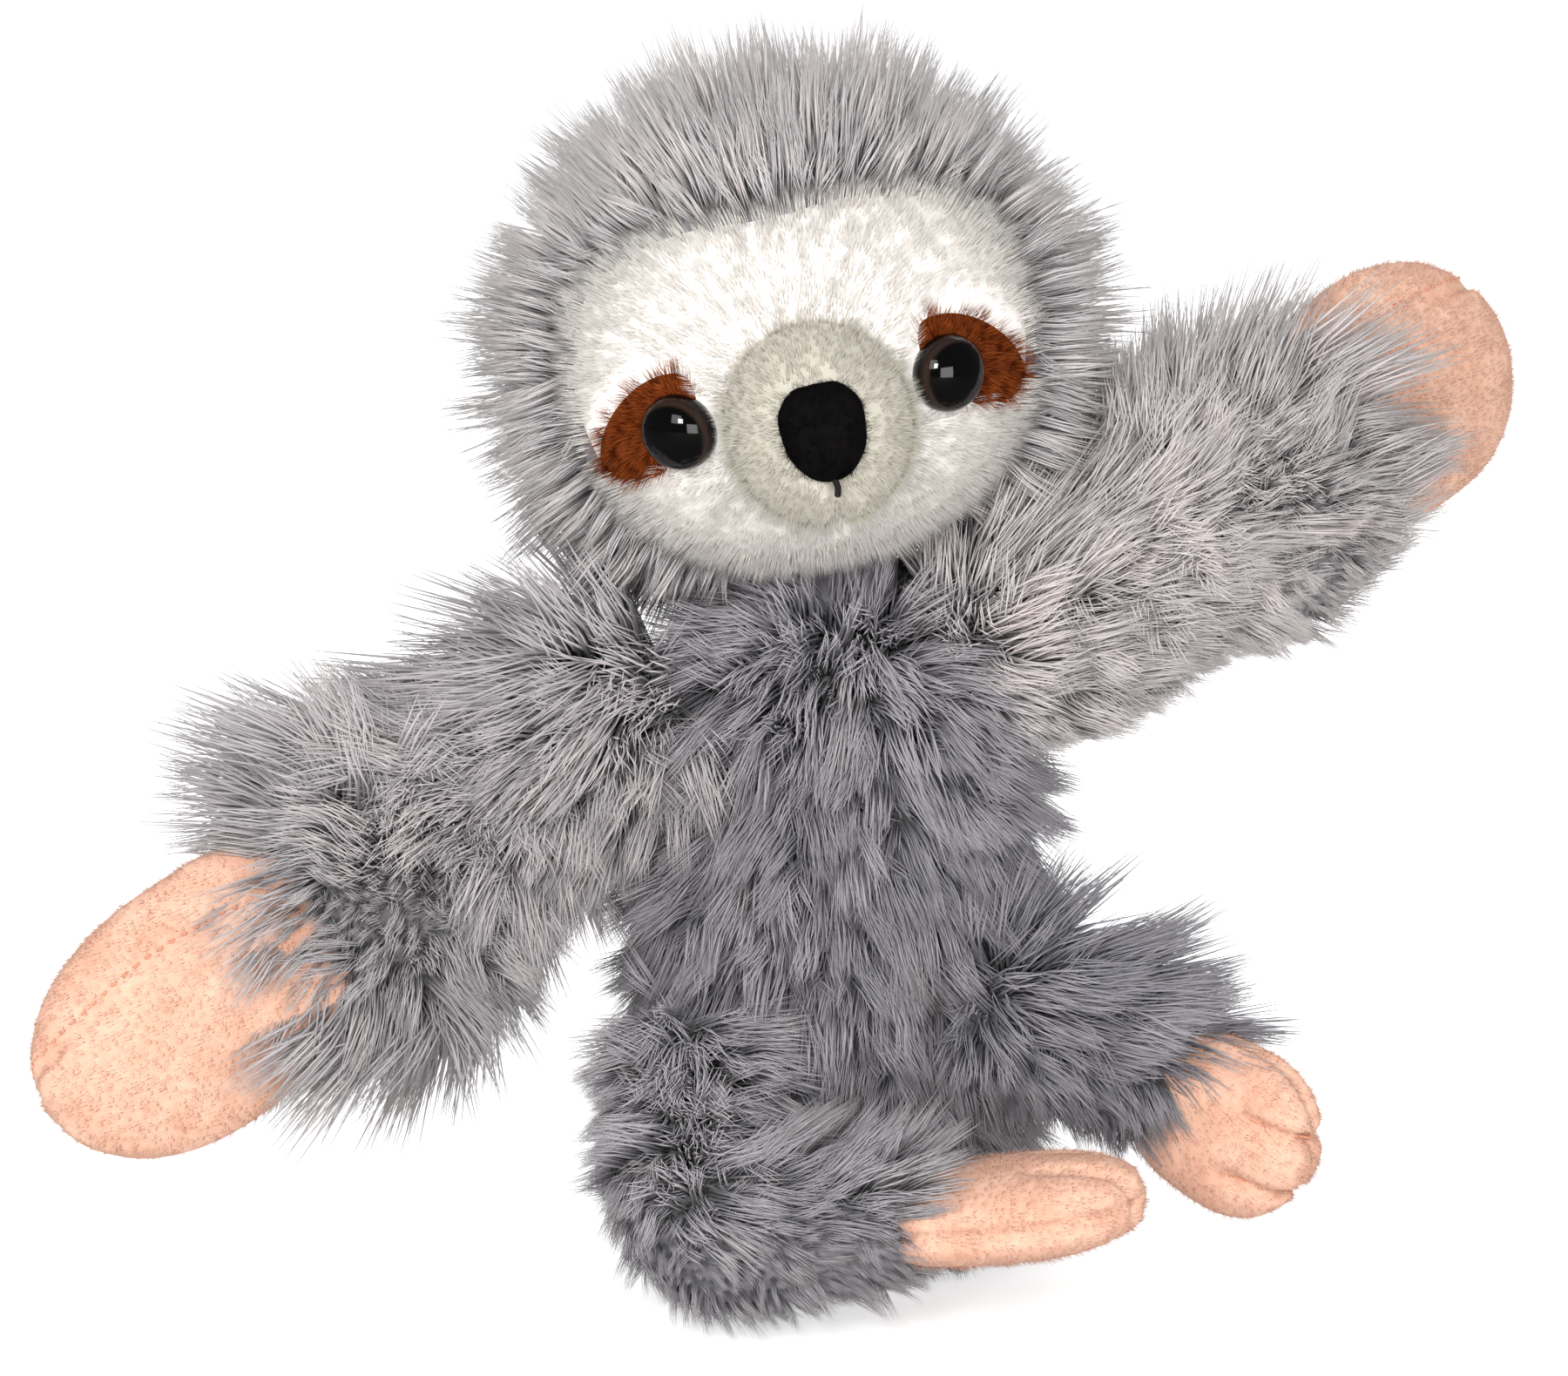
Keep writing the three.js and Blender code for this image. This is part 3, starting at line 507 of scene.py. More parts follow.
@dataclass(frozen=True)
class PlainFinish(Finish):
    """A hidden inner material with a fine mottle.

    Args:
        name: the material's name.
        colour: the main colour.
        mottle: the colour of its flecks.
        scale: noise scale of the flecks.
        roughness: surface roughness.
        metallic: 1 for metal.
    """

    name: str
    colour: Colour
    mottle: Colour
    scale: float = 500.0
    roughness: float = 0.8
    metallic: float = 0.0

    def paint(self, graph: Graph, surface: bpy.types.Node) -> None:
        """Flecks with a little bump.

        Args:
            graph: the material's tree.
            surface: its shader.
        """
        flecks = self.noise(graph, self.place(graph), self.scale, 4.0)
        graph.feed(surface.inputs["Base Color"], self.blend_colours(graph, flecks, self.colour, self.mottle))
        graph.feed(surface.inputs["Roughness"], self.roughness + 0.1 * (flecks - 0.5))
        graph.feed(surface.inputs["Normal"], self.bumps(graph, flecks, 0.3, 0.2 * MM))
        surface.inputs["Metallic"].default_value = self.metallic


def from_shades(kind: type[Finish], name: str, *given: Any, **more: Any) -> Any:
    """A finish whose colours are given as screen colours.

    Args:
        kind: the kind of finish.
        name: the material's name.
        given: its colours, then any plain numbers.
        more: the rest by name.

    Returns:
        The finish.
    """
    return kind(name, *(from_screen(*g) if isinstance(g, tuple) else g for g in given), **more)


# One grey plush throughout, in six painted tones. The head and both arms are painted lighter as lit, the raised
# arm more than the other. The torso and both legs are painted darker as shaded, the spread leg most.
HEAD_LIT_PILE = from_shades(PileFinish, "head_pile", (142, 139, 141), (198, 193, 194), (225, 220, 219),
                        (230, 216, 210))
BODY_SHADED_PILE = from_shades(PileFinish, "body_pile", (90, 89, 94), (144, 141, 147), (185, 181, 186),
                        (190, 181, 180), shade=0.4)
LEVEL_LEG_SHADED_PILE = from_shades(PileFinish, "level_leg_pile", (100, 98, 103), (153, 150, 155), (193, 189, 193),
                         (196, 188, 187), shade=0.4)
SPREAD_LEG_SHADED_PILE = from_shades(PileFinish, "spread_leg_pile", (81, 80, 86), (132, 130, 137), (173, 170, 177),
                          (178, 170, 171), shade=0.4)
ARM_LIT_PILE = from_shades(PileFinish, "arm_pile", (109, 106, 109), (166, 162, 165), (209, 203, 204),
                       (216, 203, 197), shade=0.4)
RAISED_ARM_LIT_PILE = from_shades(PileFinish, "raised_arm_pile", (126, 123, 125), (187, 182, 183), (224, 217, 215),
                          (233, 217, 211), shade=0.35)
WHITE_NAP = from_shades(PileFinish, "white_nap", (235, 230, 224), (239, 234, 228), (242, 237, 231),
                        (241, 235, 228), shade=0.1, sheen=0.2)
MUZZLE_NAP = from_shades(PileFinish, "muzzle_nap", (184, 178, 165), (216, 210, 196), (238, 232, 219),
                         (226, 214, 197), shade=0.35)
BROWN_NAP = from_shades(PileFinish, "brown_nap", (72, 24, 5), (140, 66, 24), (176, 96, 44), (150, 74, 30),
                        shade=0.45, sheen=0.0, shine=0.05)
NOSE_FUZZ = from_shades(PileFinish, "nose_fuzz", (2, 2, 2), (10, 8, 8), (20, 17, 17), (12, 10, 10),
                        shade=0.5, sheen=0.0, shine=0.08)
GREY_BACKING = from_shades(ClothFinish, "grey_backing", (112, 110, 114), (140, 137, 140), sheen=0.1)
WHITE_BACKING = from_shades(ClothFinish, "white_backing", (244, 239, 234), (247, 243, 238))
MUZZLE_BACKING = from_shades(ClothFinish, "muzzle_backing", (190, 185, 172), (210, 204, 190))
BROWN_BACKING = from_shades(ClothFinish, "brown_backing", (74, 28, 8), (120, 56, 22), sheen=0.0, shine=0.05)
NOSE_FELT = from_shades(ClothFinish, "nose_felt", (3, 2, 2), (13, 11, 11), grain=1800.0, sheen=0.0,
                        shine=0.06)
VELOUR = from_shades(ClothFinish, "peach_velour", (210, 158, 134), (232, 190, 166), drift=160.0,
                     depth=0.3 * MM, sheen=0.05)
VELOUR_NAP = from_shades(PileFinish, "velour_nap", (194, 144, 121), (212, 168, 146), (231, 195, 174),
                         (219, 176, 153), shade=0.15, sheen=0.05)
PEACH_THREAD = from_shades(ThreadFinish, "peach_thread", (236, 172, 140), (196, 128, 98))
BLACK_THREAD = from_shades(ThreadFinish, "black_thread", (34, 30, 28), (8, 7, 7))
EYE_PLASTIC = EyeFinish("eye_plastic", (0.001, 0.001, 0.001), from_screen(44, 32, 27), from_screen(10, 8, 8))
FIBRE_FILL = from_shades(PlainFinish, "fibre_fill", (244, 243, 239), (226, 224, 219), 220.0, 0.9)
PELLET_CLOTH = from_shades(PlainFinish, "pellet_cloth", (217, 214, 205), (188, 184, 174), 300.0, 0.85)
SPRING_STEEL = from_shades(PlainFinish, "spring_steel", (190, 193, 197), (168, 171, 175), 900.0, 0.3, 1.0)
WASHER_PLASTIC = from_shades(PlainFinish, "washer_plastic", (232, 232, 228), (214, 214, 208), 700.0, 0.45)


# Meshes


def smooth_profile(table: Sequence[Sequence[float]], steps: int) -> Points:
    """A smooth run through the rows of a table.

    Args:
        table: rows of numbers, the first of which is only a place on the run.
        steps: how many rows to return.

    Returns:
        The rows on a smooth curve, evenly spaced by row.
    """
    rows = np.asarray(table, float)
    padded = np.vstack([2 * rows[0] - rows[1], rows, 2 * rows[-1] - rows[-2]])
    out = []
    for place in np.linspace(0, len(rows) - 1, steps):
        start = min(int(place), len(rows) - 2)
        t = place - start
        a, b, c, d = padded[start:start + 4]
        out.append(0.5 * (2 * b + (c - a) * t + (2 * a - 5 * b + 4 * c - d) * t ** 2
                          + (3 * b - a - 3 * c + d) * t ** 3))
    return np.array(out)


def new_piece(name: str, points: Points, faces: Iterable[Sequence[int]]) -> Piece:
    """A smooth-shaded mesh object in the scene, its faces outwards.

    Args:
        name: the object's name.
        points: corners in the row frame.
        faces: corner numbers of each face.

    Returns:
        The new object.
    """
    mesh = bpy.data.meshes.new(name)
    mesh.from_pydata([tuple(p) for p in points], [], [tuple(f) for f in faces])
    form = bmesh.new()
    form.from_mesh(mesh)
    bmesh.ops.remove_doubles(form, verts=form.verts, dist=1e-6)
    bmesh.ops.recalc_face_normals(form, faces=form.faces)
    form.to_mesh(mesh)
    form.free()
    mesh.shade_smooth()
    piece = bpy.data.objects.new(name, mesh)
    bpy.context.scene.collection.objects.link(piece)
    return piece


def tube_faces(rings: int, sides: int) -> list[tuple[int, ...]]:
    """Faces of stacked rings with a pole at each end, the poles numbered last.

    Args:
        rings: how many rings.
        sides: corners of each ring.

    Returns:
        Corner numbers of each face.
    """
    first, last = rings * sides, rings * sides + 1
    faces: list[tuple[int, ...]] = []
    for i in range(rings - 1):
        for k in range(sides):
            n = (k + 1) % sides
            faces.append((i * sides + k, i * sides + n, (i + 1) * sides + n, (i + 1) * sides + k))
    for k in range(sides):
        n = (k + 1) % sides
        faces.append((first, n, k))
        faces.append((last, (rings - 1) * sides + k, (rings - 1) * sides + n))
    return faces


def closed_tube(name: str, rings: Points, poles: Sequence[Sequence[float]]) -> Piece:
    """A closed form from rings of points, with a pole at each end.

    Args:
        name: the object's name.
        rings: the rings of points.
        poles: the first and the last pole.

    Returns:
        The new object.
    """
    count, sides = rings.shape[:2]
    points = np.vstack([rings.reshape(-1, 3), np.asarray(poles, float)])
    return new_piece(name, points, tube_faces(count, sides))


def rounded_run(start_radius: float, end_radius: float, length: float, swell: float = 0.0,
                quarter: int = 7, middle: int = 9) -> Points:
    """Rows of place and radius for a length with two round ends.

    Args:
        start_radius: radius of the round end at 0.
        end_radius: radius of the round end at the length.
        length: distance between the centres of the ends.
        swell: how much the middle swells.
        quarter: rows of each round end.
        middle: rows between them.

    Returns:
        Rows of place and radius.
    """
    rows = []
    for angle in np.linspace(0.06, math.pi / 2, quarter):
        rows.append((-start_radius * math.cos(angle), start_radius * math.sin(angle)))
    for share in np.linspace(0, 1, middle)[1:-1]:
        bulge = swell * math.sin(math.pi * share)
        rows.append((share * length, start_radius + share * (end_radius - start_radius) + bulge))
    for angle in np.linspace(math.pi / 2, 0.06, quarter):
        rows.append((length + end_radius * math.cos(angle), end_radius * math.sin(angle)))
    return np.array(rows)


def straight_form(name: str, place: Matrix, run: Points, less: float, breadth: float,
                  sides: int = 32) -> Piece:
    """A form turned about the X axis of a frame, broader along its Z axis.

    Args:
        name: the object's name.
        place: the frame.
        run: rows of place along X and radius, before the pile is taken off.
        less: how far the pile's roots lie inside the radius.
        breadth: breadth along Z for each unit of depth.
        sides: corners of each ring.

    Returns:
        The new object.
    """
    angles = np.linspace(0, FULL_TURN, sides, endpoint=False)
    rings = []
    for x, radius in run:
        share = max(radius - less * radius / run[:, 1].max(), 0.2 * MM)
        wide = max(radius * breadth - less * radius / run[:, 1].max(), 0.2 * MM)
        rings.append(np.stack([np.full(sides, x), share * np.cos(angles), wide * np.sin(angles)], 1))
    ends = np.array([(run[0][0] - POLE_GAP, 0, 0), (run[-1][0] + POLE_GAP, 0, 0)])
    return closed_tube(name, placed(np.array(rings), place), placed(ends, place))


def swept_form(name: str, centres: Points, radii: Points, sides: int = 28) -> Piece:
    """A round form that follows a smooth path.

    Args:
        name: the object's name.
        centres: points of the path.
        radii: the radius at each point.
        sides: corners of each ring.

    Returns:
        The new object.
    """
    count = len(centres)
    along = np.gradient(centres, axis=0)
    along /= np.linalg.norm(along, axis=1)[:, None]
    side = Vector(along[0]).orthogonal().normalized()
    angles = np.linspace(0, FULL_TURN, sides, endpoint=False)
    rings = []
    for i in range(count):
        forward = Vector(along[i])
        side = (side - forward * side.dot(forward)).normalized()
        other = forward.cross(side)
        ring = centres[i] + radii[i] * (np.outer(np.cos(angles), side) + np.outer(np.sin(angles), other))
        rings.append(ring)
    poles = [centres[0] - along[0] * POLE_GAP, centres[-1] + along[-1] * POLE_GAP]
    return closed_tube(name, np.array(rings), poles)


def rounded_path(points: Sequence[Sequence[float]], radii: Sequence[float],
                 steps: int) -> tuple[Points, Points]:
    """A smooth path through points with its radius, closed by a round end each way.

    Args:
        points: the path's corners.
        radii: radius at each.
        steps: points of the smooth part.

    Returns:
        Centres and radii.
    """
    rows = smooth_profile([[*p, r] for p, r in zip(points, radii)], steps)
    centres, widths = rows[:, :3], rows[:, 3]
    start = (centres[0] - centres[1]) / np.linalg.norm(centres[0] - centres[1])
    end = (centres[-1] - centres[-2]) / np.linalg.norm(centres[-1] - centres[-2])
    angles = np.linspace(0.08, math.pi / 2, 7)[:-1]
    head = [centres[0] + start * widths[0] * math.cos(a) for a in angles]
    tail = [centres[-1] + end * widths[-1] * math.cos(a) for a in angles[::-1]]
    sizes = [widths[0] * math.sin(a) for a in angles], [widths[-1] * math.sin(a) for a in angles[::-1]]
    return np.vstack([head, centres, tail]), np.concatenate([sizes[0], widths, sizes[1]])


def corners_of(piece: Piece) -> tuple[Points, Points]:
    """A piece's corners and their outward directions.

    Args:
        piece: the mesh object.

    Returns:
        Places and normals.
    """
    mesh = piece.data
    places = np.zeros(len(mesh.vertices) * 3)
    mesh.vertices.foreach_get("co", places)
    normals = np.zeros(len(mesh.vertices) * 3, np.float32)
    mesh.vertex_normals.foreach_get("vector", normals)
    return places.reshape(-1, 3), normals.reshape(-1, 3).astype(float)


def unit(vectors: Points) -> Points:
    """Rows scaled to a length of one."""
    return vectors / np.maximum(np.linalg.norm(vectors, axis=-1, keepdims=True), 1e-9)


def along_surface(flow: Points, normals: Points) -> Points:
    """Directions turned into the surface."""
    return unit(flow - normals * (flow * normals).sum(-1, keepdims=True))


def ramp(values: Points, low: float, high: float) -> Points:
    """A smooth rise from 0 at low to 1 at high."""
    t = np.clip((values - low) / (high - low), 0, 1)
    return t * t * (3 - 2 * t)


# Geometry trees


def new_tree(name: str, inputs: Iterable[tuple[str, str]], output: str) -> Tree:
    """An empty geometry tree.

    Args:
        name: the tree's name.
        inputs: each input's name and kind.
        output: the name of the geometry that comes out.

    Returns:
        The tree.
    """
    tree = bpy.data.node_groups.new(name, "GeometryNodeTree")
    for label, kind in inputs:
        tree.interface.new_socket(label, in_out="INPUT", socket_type=f"NodeSocket{kind}")
    tree.interface.new_socket(output, in_out="OUTPUT", socket_type="NodeSocketGeometry")
    return tree


def grown(name: str, start: bpy.types.Mesh, tree: Tree, given: dict[str, Any]) -> Piece:
    """What a geometry tree makes of a mesh, as a plain mesh in the scene.

    Args:
        name: the new piece's name.
        start: the mesh that goes in.
        tree: the geometry tree.
        given: its inputs by name.

    Returns:
        The piece.
    """
    carrier = bpy.data.objects.new(name + "_carrier", start)
    bpy.context.scene.collection.objects.link(carrier)
    working = carrier.modifiers.new("growth", "NODES")
    working.node_group = tree
    for item in tree.interface.items_tree:
        if item.item_type == "SOCKET" and item.in_out == "INPUT" and item.name in given:
            working[item.identifier] = given[item.name]
    graph = bpy.context.evaluated_depsgraph_get()
    mesh = bpy.data.meshes.new_from_object(carrier.evaluated_get(graph), depsgraph=graph)
    bpy.data.objects.remove(carrier)
    mesh.name = name
    piece = bpy.data.objects.new(name, mesh)
    bpy.context.scene.collection.objects.link(piece)
    return piece


# Pile


class Lock(Enum):
    """The bundles of fibres of a pile: strands, spread, taper to a point, bend, rings, thickness."""

    LONG = (8, 0.08, 0.75, 0.16, 2, 0.0105)
    UNDER = (6, 0.13, 0.75, 0.10, 1, 0.02)
    NAP = (6, 0.24, 0.9, 0.25, 1, 0.022)
    FUZZ = (5, 0.55, 1.0, 0.3, 1, 0.045)


@dataclass(frozen=True)
class LockShape:
    """Builds the few variants of a lock that a pile repeats.

    Args:
        kind: the kind of lock.
    """

    VARIANTS = 3
    known: ClassVar[dict[Lock, list[Piece]]] = {}
    kind: Lock

    def variants(self) -> list[Piece]:
        """The lock's variants, made on first use and kept out of the scene."""
        if self.kind not in self.known:
            self.known[self.kind] = [self._variant(i) for i in range(self.VARIANTS)]
        return self.known[self.kind]

    def _variant(self, number: int) -> Piece:
        """One bundle a unit high, which keeps each corner's strand and height.

        Args:
            number: which variant.

        Returns:
            The bundle, outside the scene.
        """
        strands, spread, closing, bend, rings, thickness = self.kind.value
        chance = np.random.default_rng(11 + number)
        points: list[Triple] = []
        faces: list[tuple[int, ...]] = []
        spots: list[tuple[float, float]] = []
        for strand in range(strands):
            angle = FULL_TURN * (strand + chance.uniform(-0.3, 0.3)) / strands
            reach = spread * chance.uniform(0.35, 1.0)
            root = np.array([reach * math.cos(angle), reach * math.sin(angle), -0.06])
            height = chance.uniform(0.78, 1.0)
            tip = np.array([bend + root[0] * closing + chance.normal(0, 0.03),
                            root[1] * closing + chance.normal(0, 0.03), height])
            width = chance.uniform(0.8, 1.2) * thickness
            levels = [ring / 2 for ring in range(rings)]
            start = len(points)
            for level in levels:
                lean = bend * level ** 2 * 0.8
                drawn = 0.4 + 0.6 * closing
                middle = root * (1 - level) + np.array([root[0] * drawn, root[1] * drawn, 0]) * level
                middle = middle + np.array([lean, 0, level * height])
                thick = width * (1 - 0.25 * level)
                for corner in range(3):
                    turn = FULL_TURN * corner / 3 + angle
                    points.append(tuple(middle + thick * np.array([math.cos(turn), math.sin(turn), 0])))
                    spots.append((strand / strands, level))
            last, end = len(points) - 3, len(points)
            points.append(tuple(tip))
            spots.append((strand / strands, 1.0))
            faces.append((start + 2, start + 1, start))
            for corner in range(3):
                after = (corner + 1) % 3
                for ring in range(start, last, 3):
                    faces.append((ring + corner, ring + after, ring + 3 + after, ring + 3 + corner))
                faces.append((last + corner, last + after, end))
        name = f"lock_{self.kind.name.lower()}_{number}"
        mesh = bpy.data.meshes.new(name)
        mesh.from_pydata(points, [], faces)
        mesh.shade_smooth()
        for label, column in (("strand", 0), ("height", 1)):
            layer = mesh.attributes.new(label, "FLOAT", "POINT")
            layer.data.foreach_set("value", [s[column] for s in spots])
        return bpy.data.objects.new(name, mesh)


class PileTree:
    """The geometry tree that plants locks on a cloth form."""

    NAME = "plant_pile"
    SIZES = ("Spacing", "Clump", "Length", "Shortest", "Jitter", "Stray", "Gather", "Wave", "Wave size")
    CROWDING = 1e6

    def tree(self) -> Tree:
        """The tree, built on first use."""
        known = bpy.data.node_groups.get(self.NAME)
        return known or self._build()

    def _build(self) -> Tree:
        """Points on the cloth, a lock on each, combed and waved.

        Returns:
            The tree.
        """
        locks = [(f"Lock {number}", "Object") for number in range(LockShape.VARIANTS)]
        tree = new_tree(self.NAME, [("Cloth", "Geometry"), *((name, "Float") for name in self.SIZES),
                                    ("Seed", "Int"), ("Clump seed", "Int"), *locks,
                                    ("Finish", "Material")], "Pile")
        graph = Graph(tree)
        given = graph.add("NodeGroupInput")
        seed, clump_seed = given.out("Seed"), given.out("Clump seed")
        points = graph.add("GeometryNodeDistributePointsOnFaces", {"distribute_method": "POISSON"}, {
            "Mesh": given.out("Cloth"), "Distance Min": given.out("Spacing"),
            "Density Max": self.CROWDING, "Density Factor": graph.named("cover"), "Seed": seed})
        middles = graph.add("GeometryNodeDistributePointsOnFaces", {"distribute_method": "POISSON"}, {
            "Mesh": given.out("Cloth"), "Distance Min": given.out("Clump"),
            "Density Max": self.CROWDING, "Seed": clump_seed})
        nearest = graph.add("GeometryNodeSampleNearest", {"domain": "POINT"},
                            {"Geometry": middles.out("Points")})
        own = graph.add("GeometryNodeInputPosition")
        middle = graph.add("GeometryNodeSampleIndex", {"data_type": "FLOAT_VECTOR", "domain": "POINT"}, {
            "Geometry": middles.out("Points"), "Value": own, "Index": nearest})
        pull = graph.vectors("SUBTRACT", middle, own)
        clumped = graph.stored(points.out("Points"), "pull", pull, "FLOAT_VECTOR")
        mood = graph.chance("FLOAT", 0.0, 1.0, ID=nearest, Seed=clump_seed)
        moody = graph.stored(clumped, "mood", mood)
        planted = self._planted(graph, given, moody, nearest)
        tint = graph.chance("FLOAT", 0.0, 1.0, Seed=7)
        tinted = graph.stored(planted, "tint", tint, domain="INSTANCE")
        real = graph.add("GeometryNodeRealizeInstances", {}, {"Geometry": tinted})
        height = graph.named("height").value()
        across = (graph.named("tint").value() * 0.45 + graph.named("mood").value() * 0.45
                  + graph.named("strand").value() * 0.1)
        spot = graph.add("ShaderNodeCombineXYZ", {}, {"X": across, "Y": height})
        mapped = graph.stored(real, PILE_MAP, spot, "FLOAT2", "CORNER")
        spots = graph.add("GeometryNodeInputPosition")
        drift = graph.add("ShaderNodeTexNoise", {}, {
            "Vector": spots, "Scale": given.out("Wave size"), "Detail": 1.0})
        centred = graph.vectors("SUBTRACT", drift.out("Color"), (0.5, 0.5, 0.5))
        waved = graph.scaled(centred, height * given.value("Wave"))
        drawn = graph.scaled(graph.named("pull", "FLOAT_VECTOR"), (height ** 1.5) * given.value("Gather"))
        moved = graph.add("GeometryNodeSetPosition", {}, {
            "Geometry": mapped, "Offset": graph.vectors("ADD", waved, drawn)})
        dressed = graph.add("GeometryNodeSetMaterial", {}, {
            "Geometry": moved, "Material": given.out("Finish")})
        graph.add("NodeGroupOutput", {}, {"Pile": dressed})
        return tree

    @staticmethod
    def _planted(graph: Graph, given: Step, points: Step, nearest: Step) -> Step:
        """Stands a lock on each point, turned by the combing and its own chance.

        Args:
            graph: the tree.
            given: its inputs.
            points: where locks stand.
            nearest: the number of each point's clump.

        Returns:
            The locks as instances.
        """
        seed = given.out("Seed")
        ends = ((-1.0, -1.0, -1.0), (1.0, 1.0, 1.0))
        jitter = graph.scaled(graph.chance("FLOAT_VECTOR", *ends, Seed=seed), given.out("Jitter"))
        together = graph.chance("FLOAT_VECTOR", *ends, ID=nearest, Seed=given.out("Clump seed"))
        strays = graph.vectors("ADD", graph.scaled(together, given.out("Stray")), jitter)
        aim = graph.vectors("ADD", graph.named("lay", "FLOAT_VECTOR"), strays)
        standing = graph.add("FunctionNodeAlignRotationToVector", {"axis": "Z"}, {"Vector": aim})
        turned = graph.add("FunctionNodeAlignRotationToVector", {"axis": "X", "pivot_axis": "Z"}, {
            "Rotation": standing, "Vector": graph.named("sweep", "FLOAT_VECTOR")})
        chance = graph.chance("FLOAT", given.out("Shortest"), 1.1, Seed=seed)
        clump_height = graph.named("mood").value() * 0.24 + 0.88
        tall = chance.value() * given.value("Length") * graph.named("tall").value() * clump_height
        size = graph.add("ShaderNodeCombineXYZ", {}, {"X": tall, "Y": tall, "Z": tall})
        bundle = graph.add("GeometryNodeJoinGeometry")
        for number in range(LockShape.VARIANTS):
            lock = graph.add("GeometryNodeObjectInfo", {}, {
                "Object": given.out(f"Lock {number}"), "As Instance": True})
            graph.tree.links.new(lock.out("Geometry"), bundle.node.inputs[0])
        return graph.add("GeometryNodeInstanceOnPoints", {}, {
            "Points": points, "Instance": bundle, "Pick Instance": True, "Rotation": turned, "Scale": size})


@dataclass(frozen=True)
class Combing:
    """How a cloth's pile lies at each of its corners.

    Args:
        lay: the direction of each lock.
        sweep: the direction that its tip bends to.
        cover: how densely it is planted, 0 to 1.
        tall: its length as a share of the pile's.
    """

    lay: Points
    sweep: Points
    cover: Points
    tall: Points


@dataclass(frozen=True)
class Pile:
    """A pile to plant on a cloth.

    Args:
        kind: the kind of lock.
        finish: the fibres' finish.
        spacing: least distance between locks.
        clump: distance between the middles that tips gather to.
        length: a full lock's length.
        shortest: the shortest lock as a share of that.
        jitter: how far single locks stray from their lay.
        stray: how far a whole clump strays from it.
        gather: how far tips are drawn to their clump's middle, 0 to 1.
        wave: how far tips drift together.
        wave_size: noise scale of that drift.
        layers: how many pieces share the planting.
        seed: seed of everything random.
    """

    kind: Lock
    finish: PileFinish
    spacing: float
    length: float
    clump: float = 4.2 * MM
    shortest: float = 0.8
    jitter: float = 0.12
    stray: float = 0.3
    gather: float = 0.4
    wave: float = 4.5 * MM
    wave_size: float = 110.0
    layers: int = 1
    seed: int = 1

    def grow(self, name: str, cloth: Piece, combing: Combing) -> list[Piece]:
        """Plants the pile.

        Args:
            name: what the new pieces' names start with.
            cloth: the form that it stands on.
            combing: how it lies.

        Returns:
            The pile as plain meshes, one for each layer.
        """
        names = [f"{name}_{i}" for i in range(1, self.layers + 1)] if self.layers > 1 else [name]
        return [self._layer(label, cloth, combing, number) for number, label in enumerate(names)]

    def _layer(self, name: str, cloth: Piece, combing: Combing, number: int) -> Piece:
        """One layer's locks as a plain mesh.

        Args:
            name: the piece's name.
            cloth: the form that it stands on.
            combing: how it lies.
            number: the layer's number.

        Returns:
            The layer.
        """
        mesh = cloth.data.copy()
        for label, rows in (("lay", combing.lay), ("sweep", combing.sweep)):
            mesh.attributes.new(label, "FLOAT_VECTOR", "POINT").data.foreach_set("vector", rows.ravel())
        for label, column in (("cover", combing.cover), ("tall", combing.tall)):
            mesh.attributes.new(label, "FLOAT", "POINT").data.foreach_set("value", column)
        given = {"Spacing": self.spacing * math.sqrt(self.layers), "Clump": self.clump,
                 "Length": self.length, "Shortest": self.shortest, "Jitter": self.jitter,
                 "Stray": self.stray, "Gather": self.gather, "Wave": self.wave,
                 "Wave size": self.wave_size, "Seed": self.seed + 100 * number, "Clump seed": self.seed,
                 "Finish": self.finish.material()}
        given.update({f"Lock {i}": lock for i, lock in enumerate(LockShape(self.kind).variants())})
        piece = grown(name, mesh, PileTree().tree(), given)
        settle(piece)
        LOG.info("%s: %d triangles", name, sum(len(f.vertices) - 2 for f in piece.data.polygons))
        return piece


FLOOR_EASE = 1.6 * MM


def settle(piece: Piece) -> None:
    """Presses what would reach below the floor up against it.

    Args:
        piece: the mesh object, changed in place.
    """
    mesh = piece.data
    places = np.zeros(len(mesh.vertices) * 3, np.float32)
    mesh.vertices.foreach_get("co", places)
    rows = places.reshape(-1, 3)
    low = rows[:, 2] < FLOOR_EASE
    rows[low, 2] = FLOOR_EASE * np.exp((rows[low, 2] - FLOOR_EASE) / FLOOR_EASE)
    mesh.vertices.foreach_set("co", rows.ravel())
    mesh.update()


# What every sub-assembly shares


def hand_over(piece: Piece, body: str, nodes: Sequence[str]) -> None:
    """Puts a finished piece on its body in place of its nodes.

    Args:
        piece: the piece.
        body: the body that it rides on.
        nodes: the nodes that it stands for.
    """
    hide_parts(*nodes)
    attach(piece, body)
    LOG.info("%s rides on %s", piece.name, body)


def plant(name: str, cloth: Piece, combing: Combing, piles: dict[str, Pile], body: str, node: str) -> None:
    """Grows piles on a stuffed cloth and puts all of it on its body.

    Args:
        name: what the pieces' names start with.
        cloth: the form that they stand on.
        combing: how they lie.
        piles: the piles by the end of their names.
        body: the body that it rides on.
        node: the cloth node that they stand for.
    """
    for ending, pile in piles.items():
        for piece in pile.grow(f"{name}_{ending}", cloth, combing):
            hand_over(piece, body, [node])
    hand_over(cloth, body, [node])


